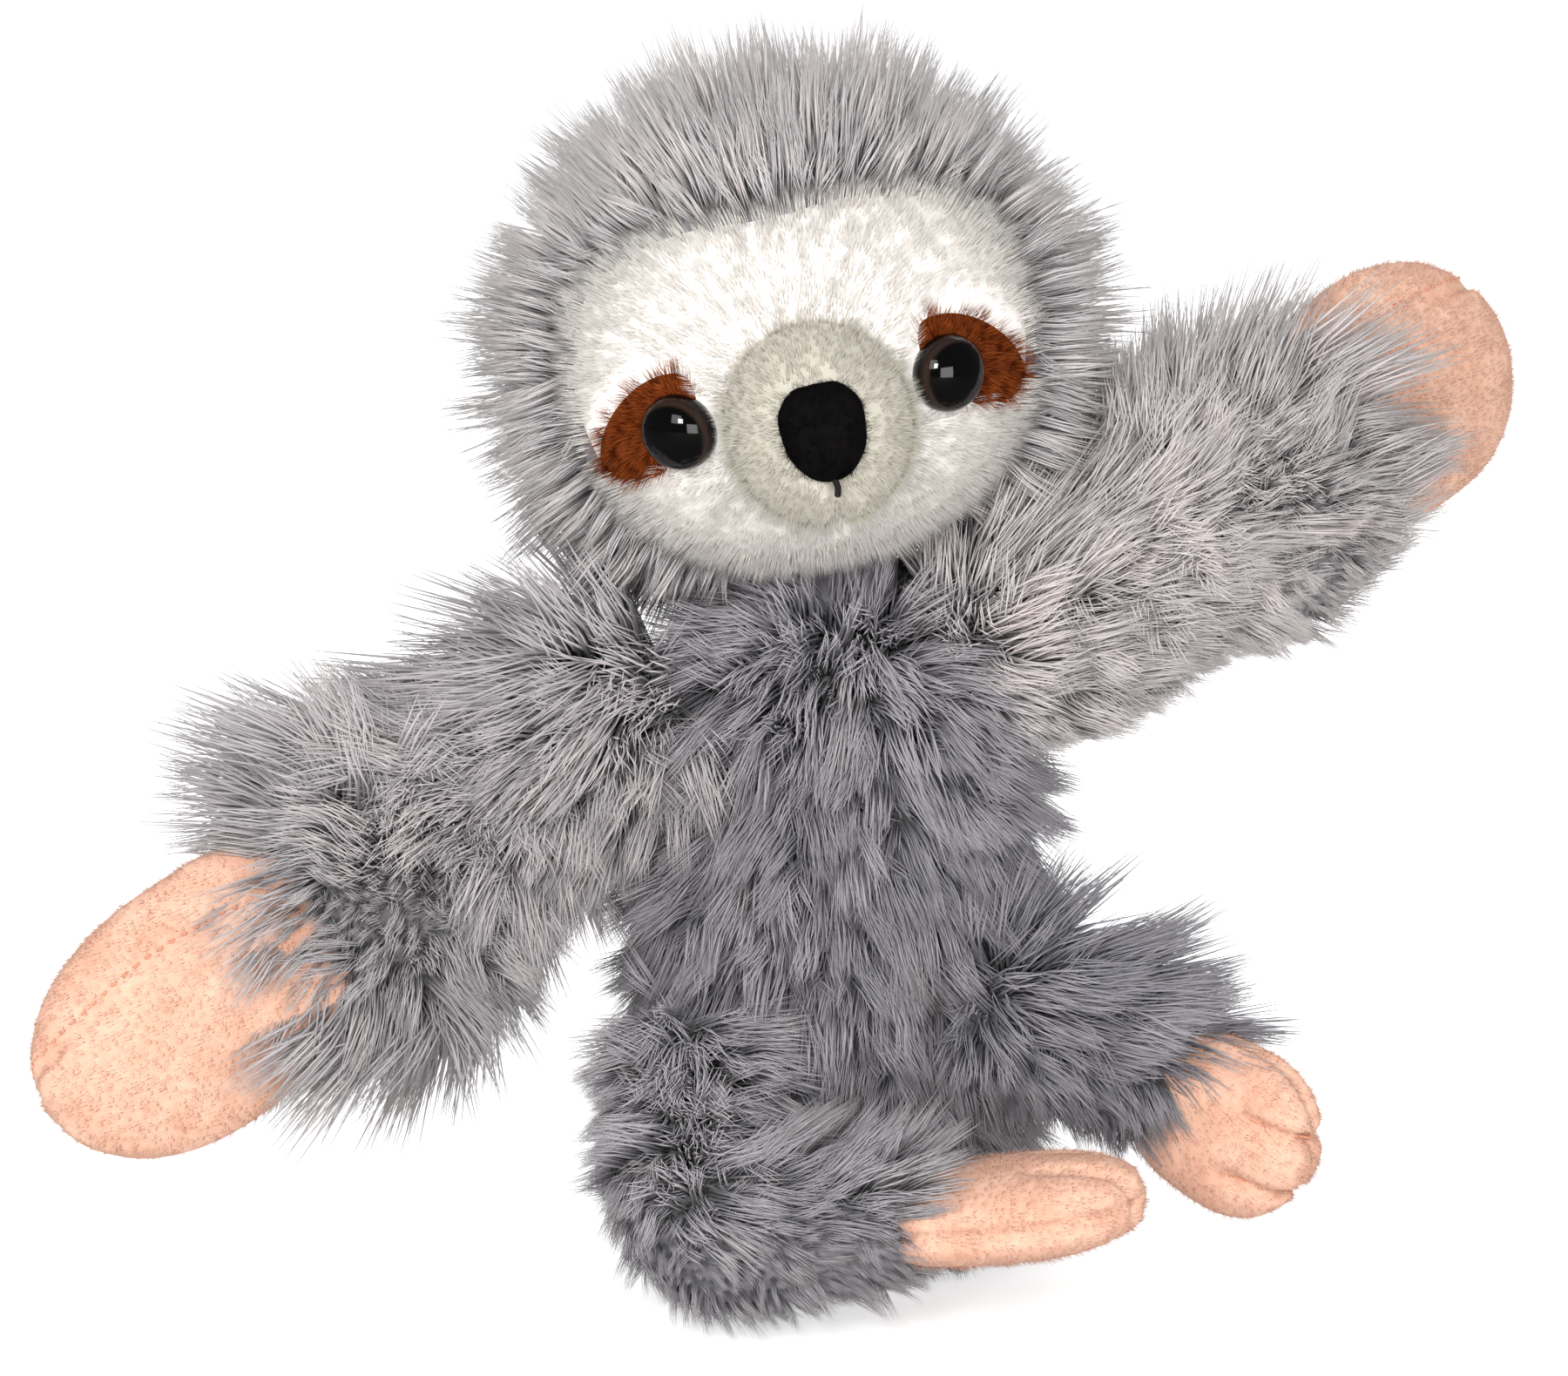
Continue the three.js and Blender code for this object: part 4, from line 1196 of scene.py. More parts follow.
def long_coat(finish: PileFinish, spacing: float, length: float, stray: float, seeds: tuple[int, int],
              layers: int = 1, under_spacing: float = 1.5 * MM,
              under_length: float = 9 * MM) -> dict[str, Pile]:
    """The long pile of torso, arms and legs, with the undercoat that hides its roots.

    Args:
        finish: the fibres' finish.
        spacing: least distance between long locks.
        length: a long lock's length.
        stray: how far a whole clump strays.
        seeds: seeds of the long pile and the undercoat.
        layers: how many pieces share the long pile.
        under_spacing: least distance between the undercoat's locks.
        under_length: their length.

    Returns:
        The two piles by the end of their names.
    """
    return {"pile": Pile(Lock.LONG, finish, spacing, length, clump=LONG_CLUMP, stray=stray, wave=5 * MM,
                         layers=layers, seed=seeds[0]),
            "undercoat": Pile(Lock.UNDER, finish, under_spacing, under_length, jitter=0.4, seed=seeds[1])}


def joint_place(name: str) -> Vector:
    """A joint's place in the row frame."""
    return Vector(next(j["pos_m"] for j in frame["joints"] if j["name"] == name))


def joint_axis(name: str) -> Vector:
    """A joint's axis in the row frame."""
    return Vector(next(j["axis"] for j in frame["joints"] if j["name"] == name))


def placed(rows: Points, place: Matrix) -> Points:
    """Places from a frame to the row frame."""
    return rows @ np.array(place.to_3x3()).T + np.array(place.translation)


def taken_back(rows: Points, place: Matrix) -> Points:
    """Places from the row frame to a frame."""
    return (rows - np.array(place.translation)) @ np.array(place.to_3x3())


def basis(x: Vector, y: Vector, z: Vector, place: Vector) -> Matrix:
    """A frame from its axes and place.

    Args:
        x, y, z: its axes.
        place: its origin.

    Returns:
        The frame.
    """
    turn = Matrix((x, y, z)).transposed().to_4x4()
    turn.translation = place
    return turn


@dataclass
class Torso:
    """The pear-shaped body with its pile combed down."""

    height: float = 112 * MM
    half_width: float = 34 * MM
    half_depth: float = 29 * MM
    pile_depth: float = 6 * MM
    outline: Outline = (
        (0.02, 0.0), (0.5, 0.0), (0.8, 0.03), (0.97, 0.14), (1.0, 0.3), (0.99, 0.5),
        (0.95, 0.68), (0.84, 0.83), (0.6, 0.945), (0.3, 0.99), (0.02, 1.0))
    sides: int = 48

    def middle(self) -> Vector:
        """Where the torso stands on the floor."""
        return Vector(frame["record"]["mounts"][0]["pos_m"])

    def cloth(self) -> Piece:
        """The stuffed body under its pile.

        Returns:
            The closed form.
        """
        wide = (self.half_width - self.pile_depth) / self.half_width
        deep = (self.half_depth - self.pile_depth) / self.half_depth
        lift = 0.4 * MM
        rows = smooth_profile(self.outline, 44)
        angles = np.linspace(0, FULL_TURN, self.sides, endpoint=False)
        place = np.array(self.middle())
        rings = []
        for share, rise in rows:
            x = share * wide * self.half_width * np.cos(angles)
            y = share * deep * self.half_depth * np.sin(angles)
            z = np.full(self.sides, rise * (self.height - self.pile_depth) + lift)
            rings.append(np.stack([x, y, z], 1) + place)
        ends = [place + np.array([0, 0, lift]),
                place + np.array([0, 0, self.height - self.pile_depth + 0.5 * MM])]
        return closed_tube("torso_cloth", np.array(rings), ends)

    def build(self) -> None:
        """Cloth and pile."""
        cloth = self.cloth()
        GREY_BACKING.dress(cloth)
        places, normals = corners_of(cloth)
        flow = along_surface(DOWN, normals)
        top = ramp(places[:, 2], 78 * MM, 104 * MM)[:, None]
        lay = unit(normals * (0.72 + 0.25 * top) + flow * (0.6 - 0.25 * top))
        base = ramp(places[:, 2], 2 * MM, 9 * MM)
        tall = 0.82 + 0.2 * ramp(places[:, 2], 20 * MM, 70 * MM) + 0.3 * top[:, 0]
        corner = ramp(-places[:, 0], 10 * MM, 20 * MM) * ramp(places[:, 2], 82 * MM, 96 * MM)
        tall = tall + 0.45 * corner
        combing = Combing(lay, flow, base, tall)
        piles = long_coat(BODY_SHADED_PILE, 1.4 * MM, 15 * MM, 0.5, (3, 4), 2)
        plant("torso", cloth, combing, piles, "torso", "torso_skin")


@dataclass
class Arm:
    """One arm: upper length, forearm and hand, on a hinge across the spring band.

    Args:
        hand_bend: how far the hand turns from the forearm at rest, in degrees.
        raised: how much longer the upward pile is, as a share.
        bell: how much longer the forearm's pile is at the cuff's edges.
        tuft: how much longer the pile is on top of the shoulder.
        breadth: breadth for each unit of depth.
        pile_depth: how far the pile's roots lie inside.
        hand: the hand's length, half width and half thickness.
    """

    side: str
    finish: PileFinish
    hand_bend: float
    raised: float
    bell: float
    tuft: float
    root: float = 17 * MM
    elbow: float = 15.5 * MM
    cuff: float = 19.5 * MM
    breadth: float = 1.28
    pile_depth: float = 6 * MM
    cuff_gap: float = 13 * MM
    swell: float = 1 * MM
    hand: Triple = (56 * MM, 19 * MM, 7.5 * MM)

    def frames(self) -> tuple[Matrix, Matrix, Matrix]:
        """The frames of the moving lengths: X along, Y to the fold side, Z the hinge.

        Returns:
            Upper arm, forearm and hand.
        """
        places = [joint_place(f"{self.side}_{j}") for j in ("shoulder", "elbow", "wrist")]
        hinge = joint_axis(f"{self.side}_shoulder").normalized()
        made = []
        for start, end in ((places[0], places[1]), (places[1], places[2])):
            along = (end - start).normalized()
            made.append(basis(along, hinge.cross(along), hinge, start))
        turn = Matrix.Rotation(math.radians(self.hand_bend), 4, "Z")
        hand = Matrix.Translation(places[2]) @ made[1].to_3x3().to_4x4() @ turn
        return made[0], made[1], hand

    def build(self) -> None:
        """Both lengths with their pile, and the hand."""
        upper, fore, hand = self.frames()
        length = (joint_place(f"{self.side}_elbow") - joint_place(f"{self.side}_shoulder")).length
        self._length("upper_arm", upper, rounded_run(self.root, self.elbow, length), 21)
        forearm = rounded_run(self.elbow, self.cuff, length - self.cuff_gap, self.swell)
        self._length("forearm", fore, forearm, 31)
        seam_side = 1 if self.side == "right" else -1
        Mitt(f"{self.side}_hand", hand, *self.hand, 0, seam_side).build_hand()

    def _length(self, part: str, place: Matrix, run: Points, seed: int) -> None:
        """One length of arm with its pile combed along it.

        Args:
            part: upper_arm or forearm.
            place: its frame.
            run: rows of place along it and radius.
            seed: its long pile's seed.
        """
        name = f"{self.side}_{part}"
        cloth = straight_form(f"{name}_cloth", place, run, self.pile_depth, self.breadth)
        GREY_BACKING.dress(cloth)
        places, normals = corners_of(cloth)
        along = np.array(place.to_3x3().col[0])
        flow = along_surface(along + DOWN * 0.3, normals)
        x = (places - np.array(place.translation)) @ along
        edge = ramp(np.abs(normals[:, 2]), 0.0, 0.8)
        flare = ramp(x, 4 * MM, 15 * MM) * (part == "forearm")
        palm = ramp(normals @ np.array(place.to_3x3().col[1]), 0.0, 0.6) * flare
        leaning = 0.42 + 0.2 * edge * (1 - palm) - 0.2 * flare - 0.4 * palm
        lay = unit(normals * 0.85 + flow * leaning[:, None])
        under = ramp(-normals[:, 2], 0.2, 0.9) * (1 - flare)
        root_end = -0.45 * self.root
        cover = ramp(x, root_end - 3 * MM, root_end)
        tall = (1.0 + self.raised * normals[:, 2] + self.bell * flare * np.abs(normals[:, 2])
                - 0.55 * palm - 0.25 * under)
        shoulder = (1 - ramp(x, 8 * MM, 22 * MM)) * ramp(normals[:, 2], 0.2, 0.9) * (part == "upper_arm")
        tall = tall + self.tuft * shoulder
        combing = Combing(lay, flow, cover, tall)
        piles = long_coat(self.finish, 1.3 * MM, 18 * MM, 0.42, (seed, seed + 1), 1, 1.4 * MM, 12 * MM)
        plant(name, cloth, combing, piles, name, f"{name}_skin")


@dataclass
class Mitt:
    """A flat velour hand or foot from two halves sewn round the edge."""

    name: str
    place: Matrix
    length: float
    half_width: float
    half_thickness: float
    toes: int
    upper: int = 1
    outline: Outline = (
        (-0.05, 0.32), (0.0, 0.46), (0.05, 0.64), (0.12, 0.79), (0.22, 0.89), (0.35, 0.96), (0.55, 1.0),
        (0.7, 0.95), (0.83, 0.8), (0.92, 0.58), (0.97, 0.37), (0.992, 0.15))
    sides: int = 72
    rows: int = 90
    groove_depth: float = 1.5 * MM
    groove_width: float = 1.2 * MM
    toe_depth: float = 2.6 * MM
    toe_width: float = 1.1 * MM
    toe_spacing: float = 0.36
    seam_inset: float = 8.0 * MM
    thread_radius: float = 0.22 * MM
    fuller: float = 0.22

    def surface(self, along: float, angle: float, raised: float = 0.0) -> Points:
        """A place on the mitt in its own frame.

        Args:
            along: share of the outline's run.
            angle: turn about the length, 0 at the edge and a quarter on the fold side.
            raised: how far off the velour.

        Returns:
            X, Y and Z.
        """
        x, wide = self._row(along)
        thick = self.half_thickness * wide ** 0.62
        cos, sin = math.cos(angle), math.sin(angle)
        if not self.toes and cos * self.upper > 0:
            wide += self.fuller * math.exp(-((along - 0.33) / 0.24) ** 2)
        z = (self.half_width * wide + raised) * math.copysign(abs(cos) ** 0.92, cos)
        y = (thick + raised) * math.copysign(abs(sin) ** 0.85, sin)
        return np.array([x * self.length, y, z])

    def _row(self, along: float) -> tuple[float, float]:
        """A spot on the smooth outline.

        Args:
            along: share of the outline's run.

        Returns:
            Place and width as shares.
        """
        spot = along * (len(self._run) - 1)
        low = min(int(spot), len(self._run) - 2)
        mixed = self._run[low] * (1 - (spot - low)) + self._run[low + 1] * (spot - low)
        return float(mixed[0]), float(mixed[1])

    def __post_init__(self) -> None:
        """Smooths the outline once."""
        self._run = smooth_profile(self.outline, 200)

    def form(self) -> Piece:
        """The stuffed mitt with its seam groove and toes.

        Returns:
            The closed form.
        """
        angles = np.linspace(0, FULL_TURN, self.sides, endpoint=False)
        rings = []
        for along in np.linspace(0, 1, self.rows):
            rings.append([self.surface(along, a) for a in angles])
        shape = self._grooved(np.array(rings))
        tip = self.surface(1.0, 0.0)
        tip[0] += 0.6 * MM
        tip[2] = 0.0
        root = self.surface(0.0, 0.0)
        root[2] = 0.0
        points = [self._world(p) for p in (root, tip)]
        return closed_tube(self.name + "_velour", self._world(shape), points)

    def _world(self, rows: Points) -> Points:
        """From the mitt's frame to the row frame."""
        return placed(rows, self.place)

    def _grooved(self, shape: Points) -> Points:
        """Pulls the surface in along the edge seam and between the toes.

        Args:
            shape: the rings of the smooth form.

        Returns:
            The grooved rings.
        """
        out = shape.copy()
        inward = -unit(shape * np.array([0.0, 1.0, 1.0]) + np.array([0, 0, 1e-9]))
        for row, along in enumerate(np.linspace(0, 1, self.rows)):
            for side in (1, -1):
                seam = self.surface(along, self.seam_turn(along, side))
                reach = np.linalg.norm(shape[row] - seam, axis=1)
                pull = self.groove_depth * np.exp(-(reach / self.groove_width) ** 2)
                out[row] += inward[row] * pull[:, None]
        if self.toes:
            y = shape[..., 1]
            start = ramp(shape[..., 0], 0.5 * self.length, 0.72 * self.length)
            for across in (-self.toe_spacing, self.toe_spacing):
                gap = np.abs(shape[..., 2] - across * self.half_width)
                dip = self.toe_depth * np.exp(-(gap / self.toe_width) ** 2) * start
                tip = ramp(shape[..., 0], 0.86 * self.length, 1.0 * self.length)
                out[..., 1] -= np.sign(y) * np.minimum(dip, np.abs(y) * 0.75)
                out[..., 0] -= dip * tip * 1.1
        return out

    def seam_turn(self, along: float, side: int) -> float:
        """The turn about the length at which the seam lies.

        Args:
            along: share of the outline's run.
            side: 1 for the edge on the Z side, -1 for the other.

        Returns:
            The turn, an edge's own unless a hand's upper seam is rolled onto the palm.
        """
        edge = 0.0 if side > 0 else math.pi
        if self.toes or side != self.upper:
            return edge
        fade = 1 - float(ramp(np.array(along), 0.6, 1.0))
        share = 1 - self.seam_inset * fade / max(self.half_width * self._row(along)[1], 0.012)
        lean = math.acos(max(0.0, share) ** (1 / 0.92))
        return edge + side * lean

    def seam_path(self, raised: float, shift: float) -> Points:
        """Points along the seam, in the row frame.

        Args:
            raised: how far off the velour.
            shift: how far towards the back.

        Returns:
            The points.
        """
        halves = []
        for side in (1, -1):
            half = []
            for along in np.linspace(0.25, 0.985, 70):
                turn = self.seam_turn(along, side)
                pace = np.linalg.norm(self.surface(along, turn + 0.01) - self.surface(along, turn)) / 0.01
                half.append(self.surface(along, turn - side * shift / pace, raised))
            halves.append(half if side > 0 else half[::-1])
        return self._world(np.array(halves[0] + halves[1]))

    def nap(self, form: Piece, body: str, nodes: Sequence[str]) -> None:
        """A short nap on the velour, brushed towards the tip and left off the seam.

        Args:
            form: the velour form.
            body: the body that it rides on.
            nodes: the nodes that it stands for.
        """
        places, normals = corners_of(form)
        along = np.array(self.place.to_3x3().col[0])
        flow = along_surface(along, normals)
        cover = np.ones(len(places))
        if not self.toes:
            seam = self.seam_path(0.0, 0.0)
            away = np.array([np.linalg.norm(seam - p, axis=1).min() for p in places])
            cover = ramp(away, 0.7 * MM, 1.6 * MM)
        combing = Combing(unit(normals * 0.85 + flow * 0.4), flow, cover, np.ones(len(places)))
        pile = Pile(Lock.FUZZ, VELOUR_NAP, 0.75 * MM, 1.1 * MM, clump=3 * MM, jitter=0.35, stray=0.15,
                    gather=0.0, wave=0.3 * MM, wave_size=300.0, seed=91)
        for piece in pile.grow(f"{self.name}_nap", form, combing):
            hand_over(piece, body, nodes)

    def build_hand(self) -> None:
        """The velour form, its seam thread and its stitches."""
        body = self.name
        form = self.form()
        VELOUR.dress(form)
        self.nap(form, body, [f"{self.name}_palm", f"{self.name}_back"])
        path = self.seam_path(-0.08 * MM, 1.3 * MM)
        stitches = Stitches(length=1.3 * MM, gap=0.9 * MM, radius=0.2 * MM).sew(
            f"{self.name}_stitches", path, PEACH_THREAD)
        hand_over(stitches, body, [f"{self.name}_seam_thread"])
        hand_over(form, body, [f"{self.name}_palm", f"{self.name}_back"])

    def build_foot(self, body: str) -> None:
        """The velour form and the threads between its toes.

        Args:
            body: the body that they ride on.
        """
        form = self.form()
        VELOUR.dress(form)
        self.nap(form, body, [f"{self.name}_top", f"{self.name}_sole"])
        for number, across in enumerate((self.toe_spacing, -self.toe_spacing), 1):
            thread = self.toe_thread(f"{self.name}_toe_thread_{number}_sewn", across)
            PEACH_THREAD.dress(thread)
            hand_over(thread, body, [f"{self.name}_toe_thread_{number}"])
        hand_over(form, body, [f"{self.name}_top", f"{self.name}_sole"])

    def toe_thread(self, name: str, across: float) -> Piece:
        """A thread pulled round the toe end in its groove.

        Args:
            name: the object's name.
            across: its place across the foot as a share.

        Returns:
            The thread.
        """
        z = across * self.half_width
        path = []
        for share in np.linspace(0, 1, 40):
            angle = math.pi * (share - 0.5)
            x = self.length * (0.6 + 0.335 * math.cos(angle))
            high = self._high_at(x, z)
            path.append((x, -math.sin(angle) * high * 0.72, z))
        centres = self._world(np.array(path))
        return swept_form(name, centres, np.full(len(centres), self.thread_radius), 8)

    def _high_at(self, x: float, z: float) -> float:
        """Half the mitt's thickness at a place.

        Args:
            x: place along it.
            z: place across it.

        Returns:
            The height.
        """
        places = self._run[:, 0] * self.length
        wide = float(np.interp(x, places, self._run[:, 1]))
        share = max(0.0, 1 - (abs(z) / (self.half_width * wide)) ** 2)
        return self.half_thickness * wide ** 0.62 * share ** 0.45


@dataclass(frozen=True)
class Stitches:
    """A row of stitches along a path.

    Args:
        length: length of a stitch.
        gap: distance between stitches.
        radius: radius of the thread.
    """

    length: float
    gap: float
    radius: float

    def _dash(self) -> Piece:
        """One stitch along X, its ends dipping into the cloth.

        Returns:
            The stitch, outside the scene.
        """
        rings = []
        for share in np.linspace(0, 1, 7):
            x = (share - 0.5) * self.length
            rise = self.radius * 0.9 * math.sin(math.pi * share)
            thick = self.radius * (0.35 + 0.65 * math.sin(math.pi * share) ** 0.5)
            turns = np.linspace(0, FULL_TURN, 6, endpoint=False)
            rings.append([(x, thick * math.cos(a), rise + thick * math.sin(a)) for a in turns])
        shape = np.array(rings)
        piece = closed_tube("stitch", shape, [shape[0].mean(0), shape[-1].mean(0)])
        bpy.context.scene.collection.objects.unlink(piece)
        return piece

    def _tree(self) -> Tree:
        """The geometry tree that lays stitches along a line of edges.

        Returns:
            The tree, built on first use.
        """
        known = bpy.data.node_groups.get("lay_stitches")
        if known:
            return known
        inputs = [("Path", "Geometry"), ("Pitch", "Float"), ("Stitch", "Object"), ("Finish", "Material")]
        tree = new_tree("lay_stitches", inputs, "Row")
        graph = Graph(tree)
        given = graph.add("NodeGroupInput")
        curve = graph.add("GeometryNodeMeshToCurve", {}, {"Mesh": given.out("Path")})
        even = graph.add("GeometryNodeResampleCurve", {"mode": "LENGTH"}, {
            "Curve": curve, "Length": given.out("Pitch")})
        ahead = graph.add("FunctionNodeAlignRotationToVector", {"axis": "X"}, {
            "Vector": graph.add("GeometryNodeInputTangent")})
        stitch = graph.add("GeometryNodeObjectInfo", {}, {
            "Object": given.out("Stitch"), "As Instance": True})
        laid = graph.add("GeometryNodeInstanceOnPoints", {}, {
            "Points": even, "Instance": stitch.out("Geometry"), "Rotation": ahead})
        real = graph.add("GeometryNodeRealizeInstances", {}, {"Geometry": laid})
        dressed = graph.add("GeometryNodeSetMaterial", {}, {
            "Geometry": real, "Material": given.out("Finish")})
        graph.add("NodeGroupOutput", {}, {"Row": dressed})
        return tree

    def sew(self, name: str, path: Points, finish: ThreadFinish) -> Piece:
        """Lays the stitches along a path.

        Args:
            name: the piece's name.
            path: points of the path.
            finish: the thread's finish.

        Returns:
            The row of stitches as a plain mesh.
        """
        mesh = bpy.data.meshes.new(name + "_path")
        mesh.from_pydata([tuple(p) for p in path], [(i, i + 1) for i in range(len(path) - 1)], [])
        given = {"Pitch": self.length + self.gap, "Stitch": self._dash(), "Finish": finish.material()}
        return grown(name, mesh, self._tree(), given)


@dataclass
class Leg:
    """One leg with its foot, on a hip that swings about the vertical."""

    side: str
    points: tuple[Triple, ...]
    radii: tuple[float, ...]
    toe: Triple
    level: bool
    foot_length: float
    foot_half_width: float
    finish: PileFinish
    pile_depth: float = 6 * MM
    foot_half_thickness: float = 7.5 * MM
    least_tall: float = 0.45

    def _row(self, point: Sequence[float]) -> Vector:
        """A place given in millimetres about the torso's foot, in the row frame."""
        return Vector(point) * MM + Torso().middle()

    def foot_frame(self) -> Matrix:
        """The foot's frame: X from ankle to toe, Z across.

        Returns:
            The frame.
        """
        toe, ankle = self._row(self.toe), self._row(self.points[-1])
        along = (toe - ankle).normalized()
        level = UP.cross(along).normalized()
        upright = along.cross(level).normalized()
        across = level if self.level else upright
        return basis(along, across.cross(along), across, toe - along * self.foot_length)

    def build(self) -> None:
        """Leg, pile and foot."""
        body = f"{self.side}_leg"
        rows = [self._row(p) for p in self.points]
        radii = [r * MM - self.pile_depth for r in self.radii]
        centres, sizes = rounded_path(rows, radii, 40)
        cloth = swept_form(f"{body}_cloth", centres, sizes)
        settle(cloth)
        GREY_BACKING.dress(cloth)
        places, normals = corners_of(cloth)
        near = np.argmin(((places[:, None, :] - centres[None]) ** 2).sum(-1), axis=1)
        flow = unit(np.gradient(centres, axis=0))[near]
        flow = along_surface(flow + DOWN * 0.35, normals)
        lay = unit(normals * 0.78 + flow * 0.5)
        cover = ramp(near.astype(float), 1.0, 5.0)
        outer = ramp(-normals[:, 0], 0.2, 0.9) * self.level
        tall = 1.0 + (0.25 if self.level else 0.6) * ramp(normals[:, 2], 0.1, 0.9)
        front = ramp(-normals[:, 1], 0.3, 0.9) * (1 - ramp(normals[:, 2], 0.0, 0.5)) * self.level
        ankle = ramp(near.astype(float), 27.0, 38.0)
        tall = tall - 0.5 * ramp(-normals[:, 2], 0.0, 0.6) - 0.4 * outer - 0.3 * front - 0.3 * ankle
        tall = np.maximum(tall, self.least_tall)
        combing = Combing(lay, flow, cover, tall)
        piles = long_coat(self.finish, 1.35 * MM, 14.5 * MM, 0.42, (51 + self.level, 61 + self.level), 2)
        plant(body, cloth, combing, piles, body, f"{body}_skin")
        Mitt(f"{self.side}_foot", self.foot_frame(), self.foot_length, self.foot_half_width,
             self.foot_half_thickness, TOES).build_foot(body)


@dataclass
class Head:
    """The head: skull cloth, long hood, white face, muzzle, nose and eyes."""

    half_width: float = 38 * MM
    half_depth: float = 33 * MM
    half_height: float = 33 * MM
    rise: float = 37.5 * MM
    forward: float = 3 * MM
    roll: float = -12.0
    yaw: float = 3.5
    face_half_width: float = 35.5 * MM
    face_top: float = 24.5 * MM
    face_bottom: float = 31 * MM
    face_outline: Outline = (
        (0, 1), (0.5, 0.98), (0.86, 0.72), (1, 0.2), (0.97, -0.25), (0.8, -0.68), (0.42, -0.95), (0, -1),
        (-0.42, -0.95), (-0.8, -0.68), (-0.97, -0.25), (-1, 0.2), (-0.86, 0.72), (-0.5, 0.98), (0, 1))
    nap: float = 3 * MM
    muzzle: Triple = (15 * MM, 17 * MM, 16.3 * MM)
    muzzle_drop: float = 6.5 * MM
    nose_rise: float = 1.5 * MM
    nose_half_width: float = 6.6 * MM
    nose_top: float = 7.2 * MM
    nose_bottom: float = 7.8 * MM
    stitch_radius: float = 0.5 * MM
    eye_spacing: float = 39.8 * MM
    eye_rise: float = -3.6 * MM
    eye_radius: float = 6 * MM
    patch_long: float = 12 * MM
    patch_wide: float = 8 * MM
    patch_out: float = 4 * MM
    patch_drop: float = 1.5 * MM
    patch_slant: float = 37.0
    brown_out: float = 2.2 * MM
    brown_up: float = 3.4 * MM

    def __post_init__(self) -> None:
        """Finds the head's frame and smooths the face's outline."""
        neck = Matrix.Translation(joint_place("head_nod"))
        yaw = Matrix.Rotation(math.radians(self.yaw), 4, "Z")
        roll = Matrix.Rotation(math.radians(self.roll), 4, "Y")
        self.place = neck @ yaw @ roll @ Matrix.Translation((0, -self.forward, self.rise))
        self.face_run = smooth_profile(self.face_outline, 180)[:-1]

    def _world(self, rows: Points) -> Points:
        """From the head's frame to the row frame."""
        return placed(rows, self.place)

    def _own(self, rows: Points) -> Points:
        """From the row frame to the head's frame."""
        return taken_back(rows, self.place)

    def _turned(self, rows: Points) -> Points:
        """Directions from the head's frame to the row frame."""
        return rows @ np.array(self.place.to_3x3()).T

    def _surface(self, piece: Piece) -> tuple[Points, Points]:
        """A piece's corners and outward directions in the head's frame."""
        places, normals = corners_of(piece)
        return self._own(places), normals @ np.array(self.place.to_3x3())

    def depth(self, x: Points, z: Points, grow: float) -> Points:
        """How far forward the skull, grown, lies at places on the face."""
        share = 1 - (x / (self.half_width + grow)) ** 2 - (z / (self.half_height + grow)) ** 2
        return (self.half_depth + grow) * np.sqrt(np.maximum(share, 0.0))

    def face_share(self, x: Points, z: Points) -> Points:
        """How far out places lie towards the face's outline, 1 on it.

        Args:
            x, z: the places in the head's frame.

        Returns:
            The shares.
        """
        angles = np.arctan2(z, x)
        high = np.where(self.face_run[:, 1] > 0, self.face_top, self.face_bottom)
        edge_x, edge_z = self.face_run[:, 0] * self.face_half_width, self.face_run[:, 1] * high
        turn = np.arctan2(edge_z, edge_x)
        order = np.argsort(turn)
        reach = np.interp(angles, turn[order], np.hypot(edge_x, edge_z)[order], period=FULL_TURN)
        return np.hypot(x, z) / reach

    def build(self) -> None:
        """Everything on the head's body."""
        self._hood()
        self._face()
        self._muzzle()
        self._nose()
        for side, sign in (("right", -1), ("left", 1)):
            self._patch(side, sign)
            self._eye(side, sign)

    def _ball(self, name: str, radii: Sequence[float], middle: Sequence[float], sides: int,
              rows: int) -> Piece:
        """An ellipsoid in the head's frame, its poles towards the front and back.

        Args:
            name: the object's name.
            radii: its half sizes.
            middle: its centre.
            sides: corners of each ring.
            rows: how many rings.

        Returns:
            The closed form.
        """
        angles = np.linspace(0, FULL_TURN, sides, endpoint=False)
        rings = []
        for lean in np.linspace(0.03, math.pi - 0.03, rows):
            ring = np.stack([np.cos(angles) * math.sin(lean) * radii[0],
                             np.full(sides, -math.cos(lean) * radii[1]),
                             np.sin(angles) * math.sin(lean) * radii[2]], 1)
            rings.append(ring + np.array(middle))
        ends = np.array([(0, -radii[1], 0), (0, radii[1], 0)]) + np.array(middle)
        return closed_tube(name, self._world(np.array(rings)), self._world(ends))

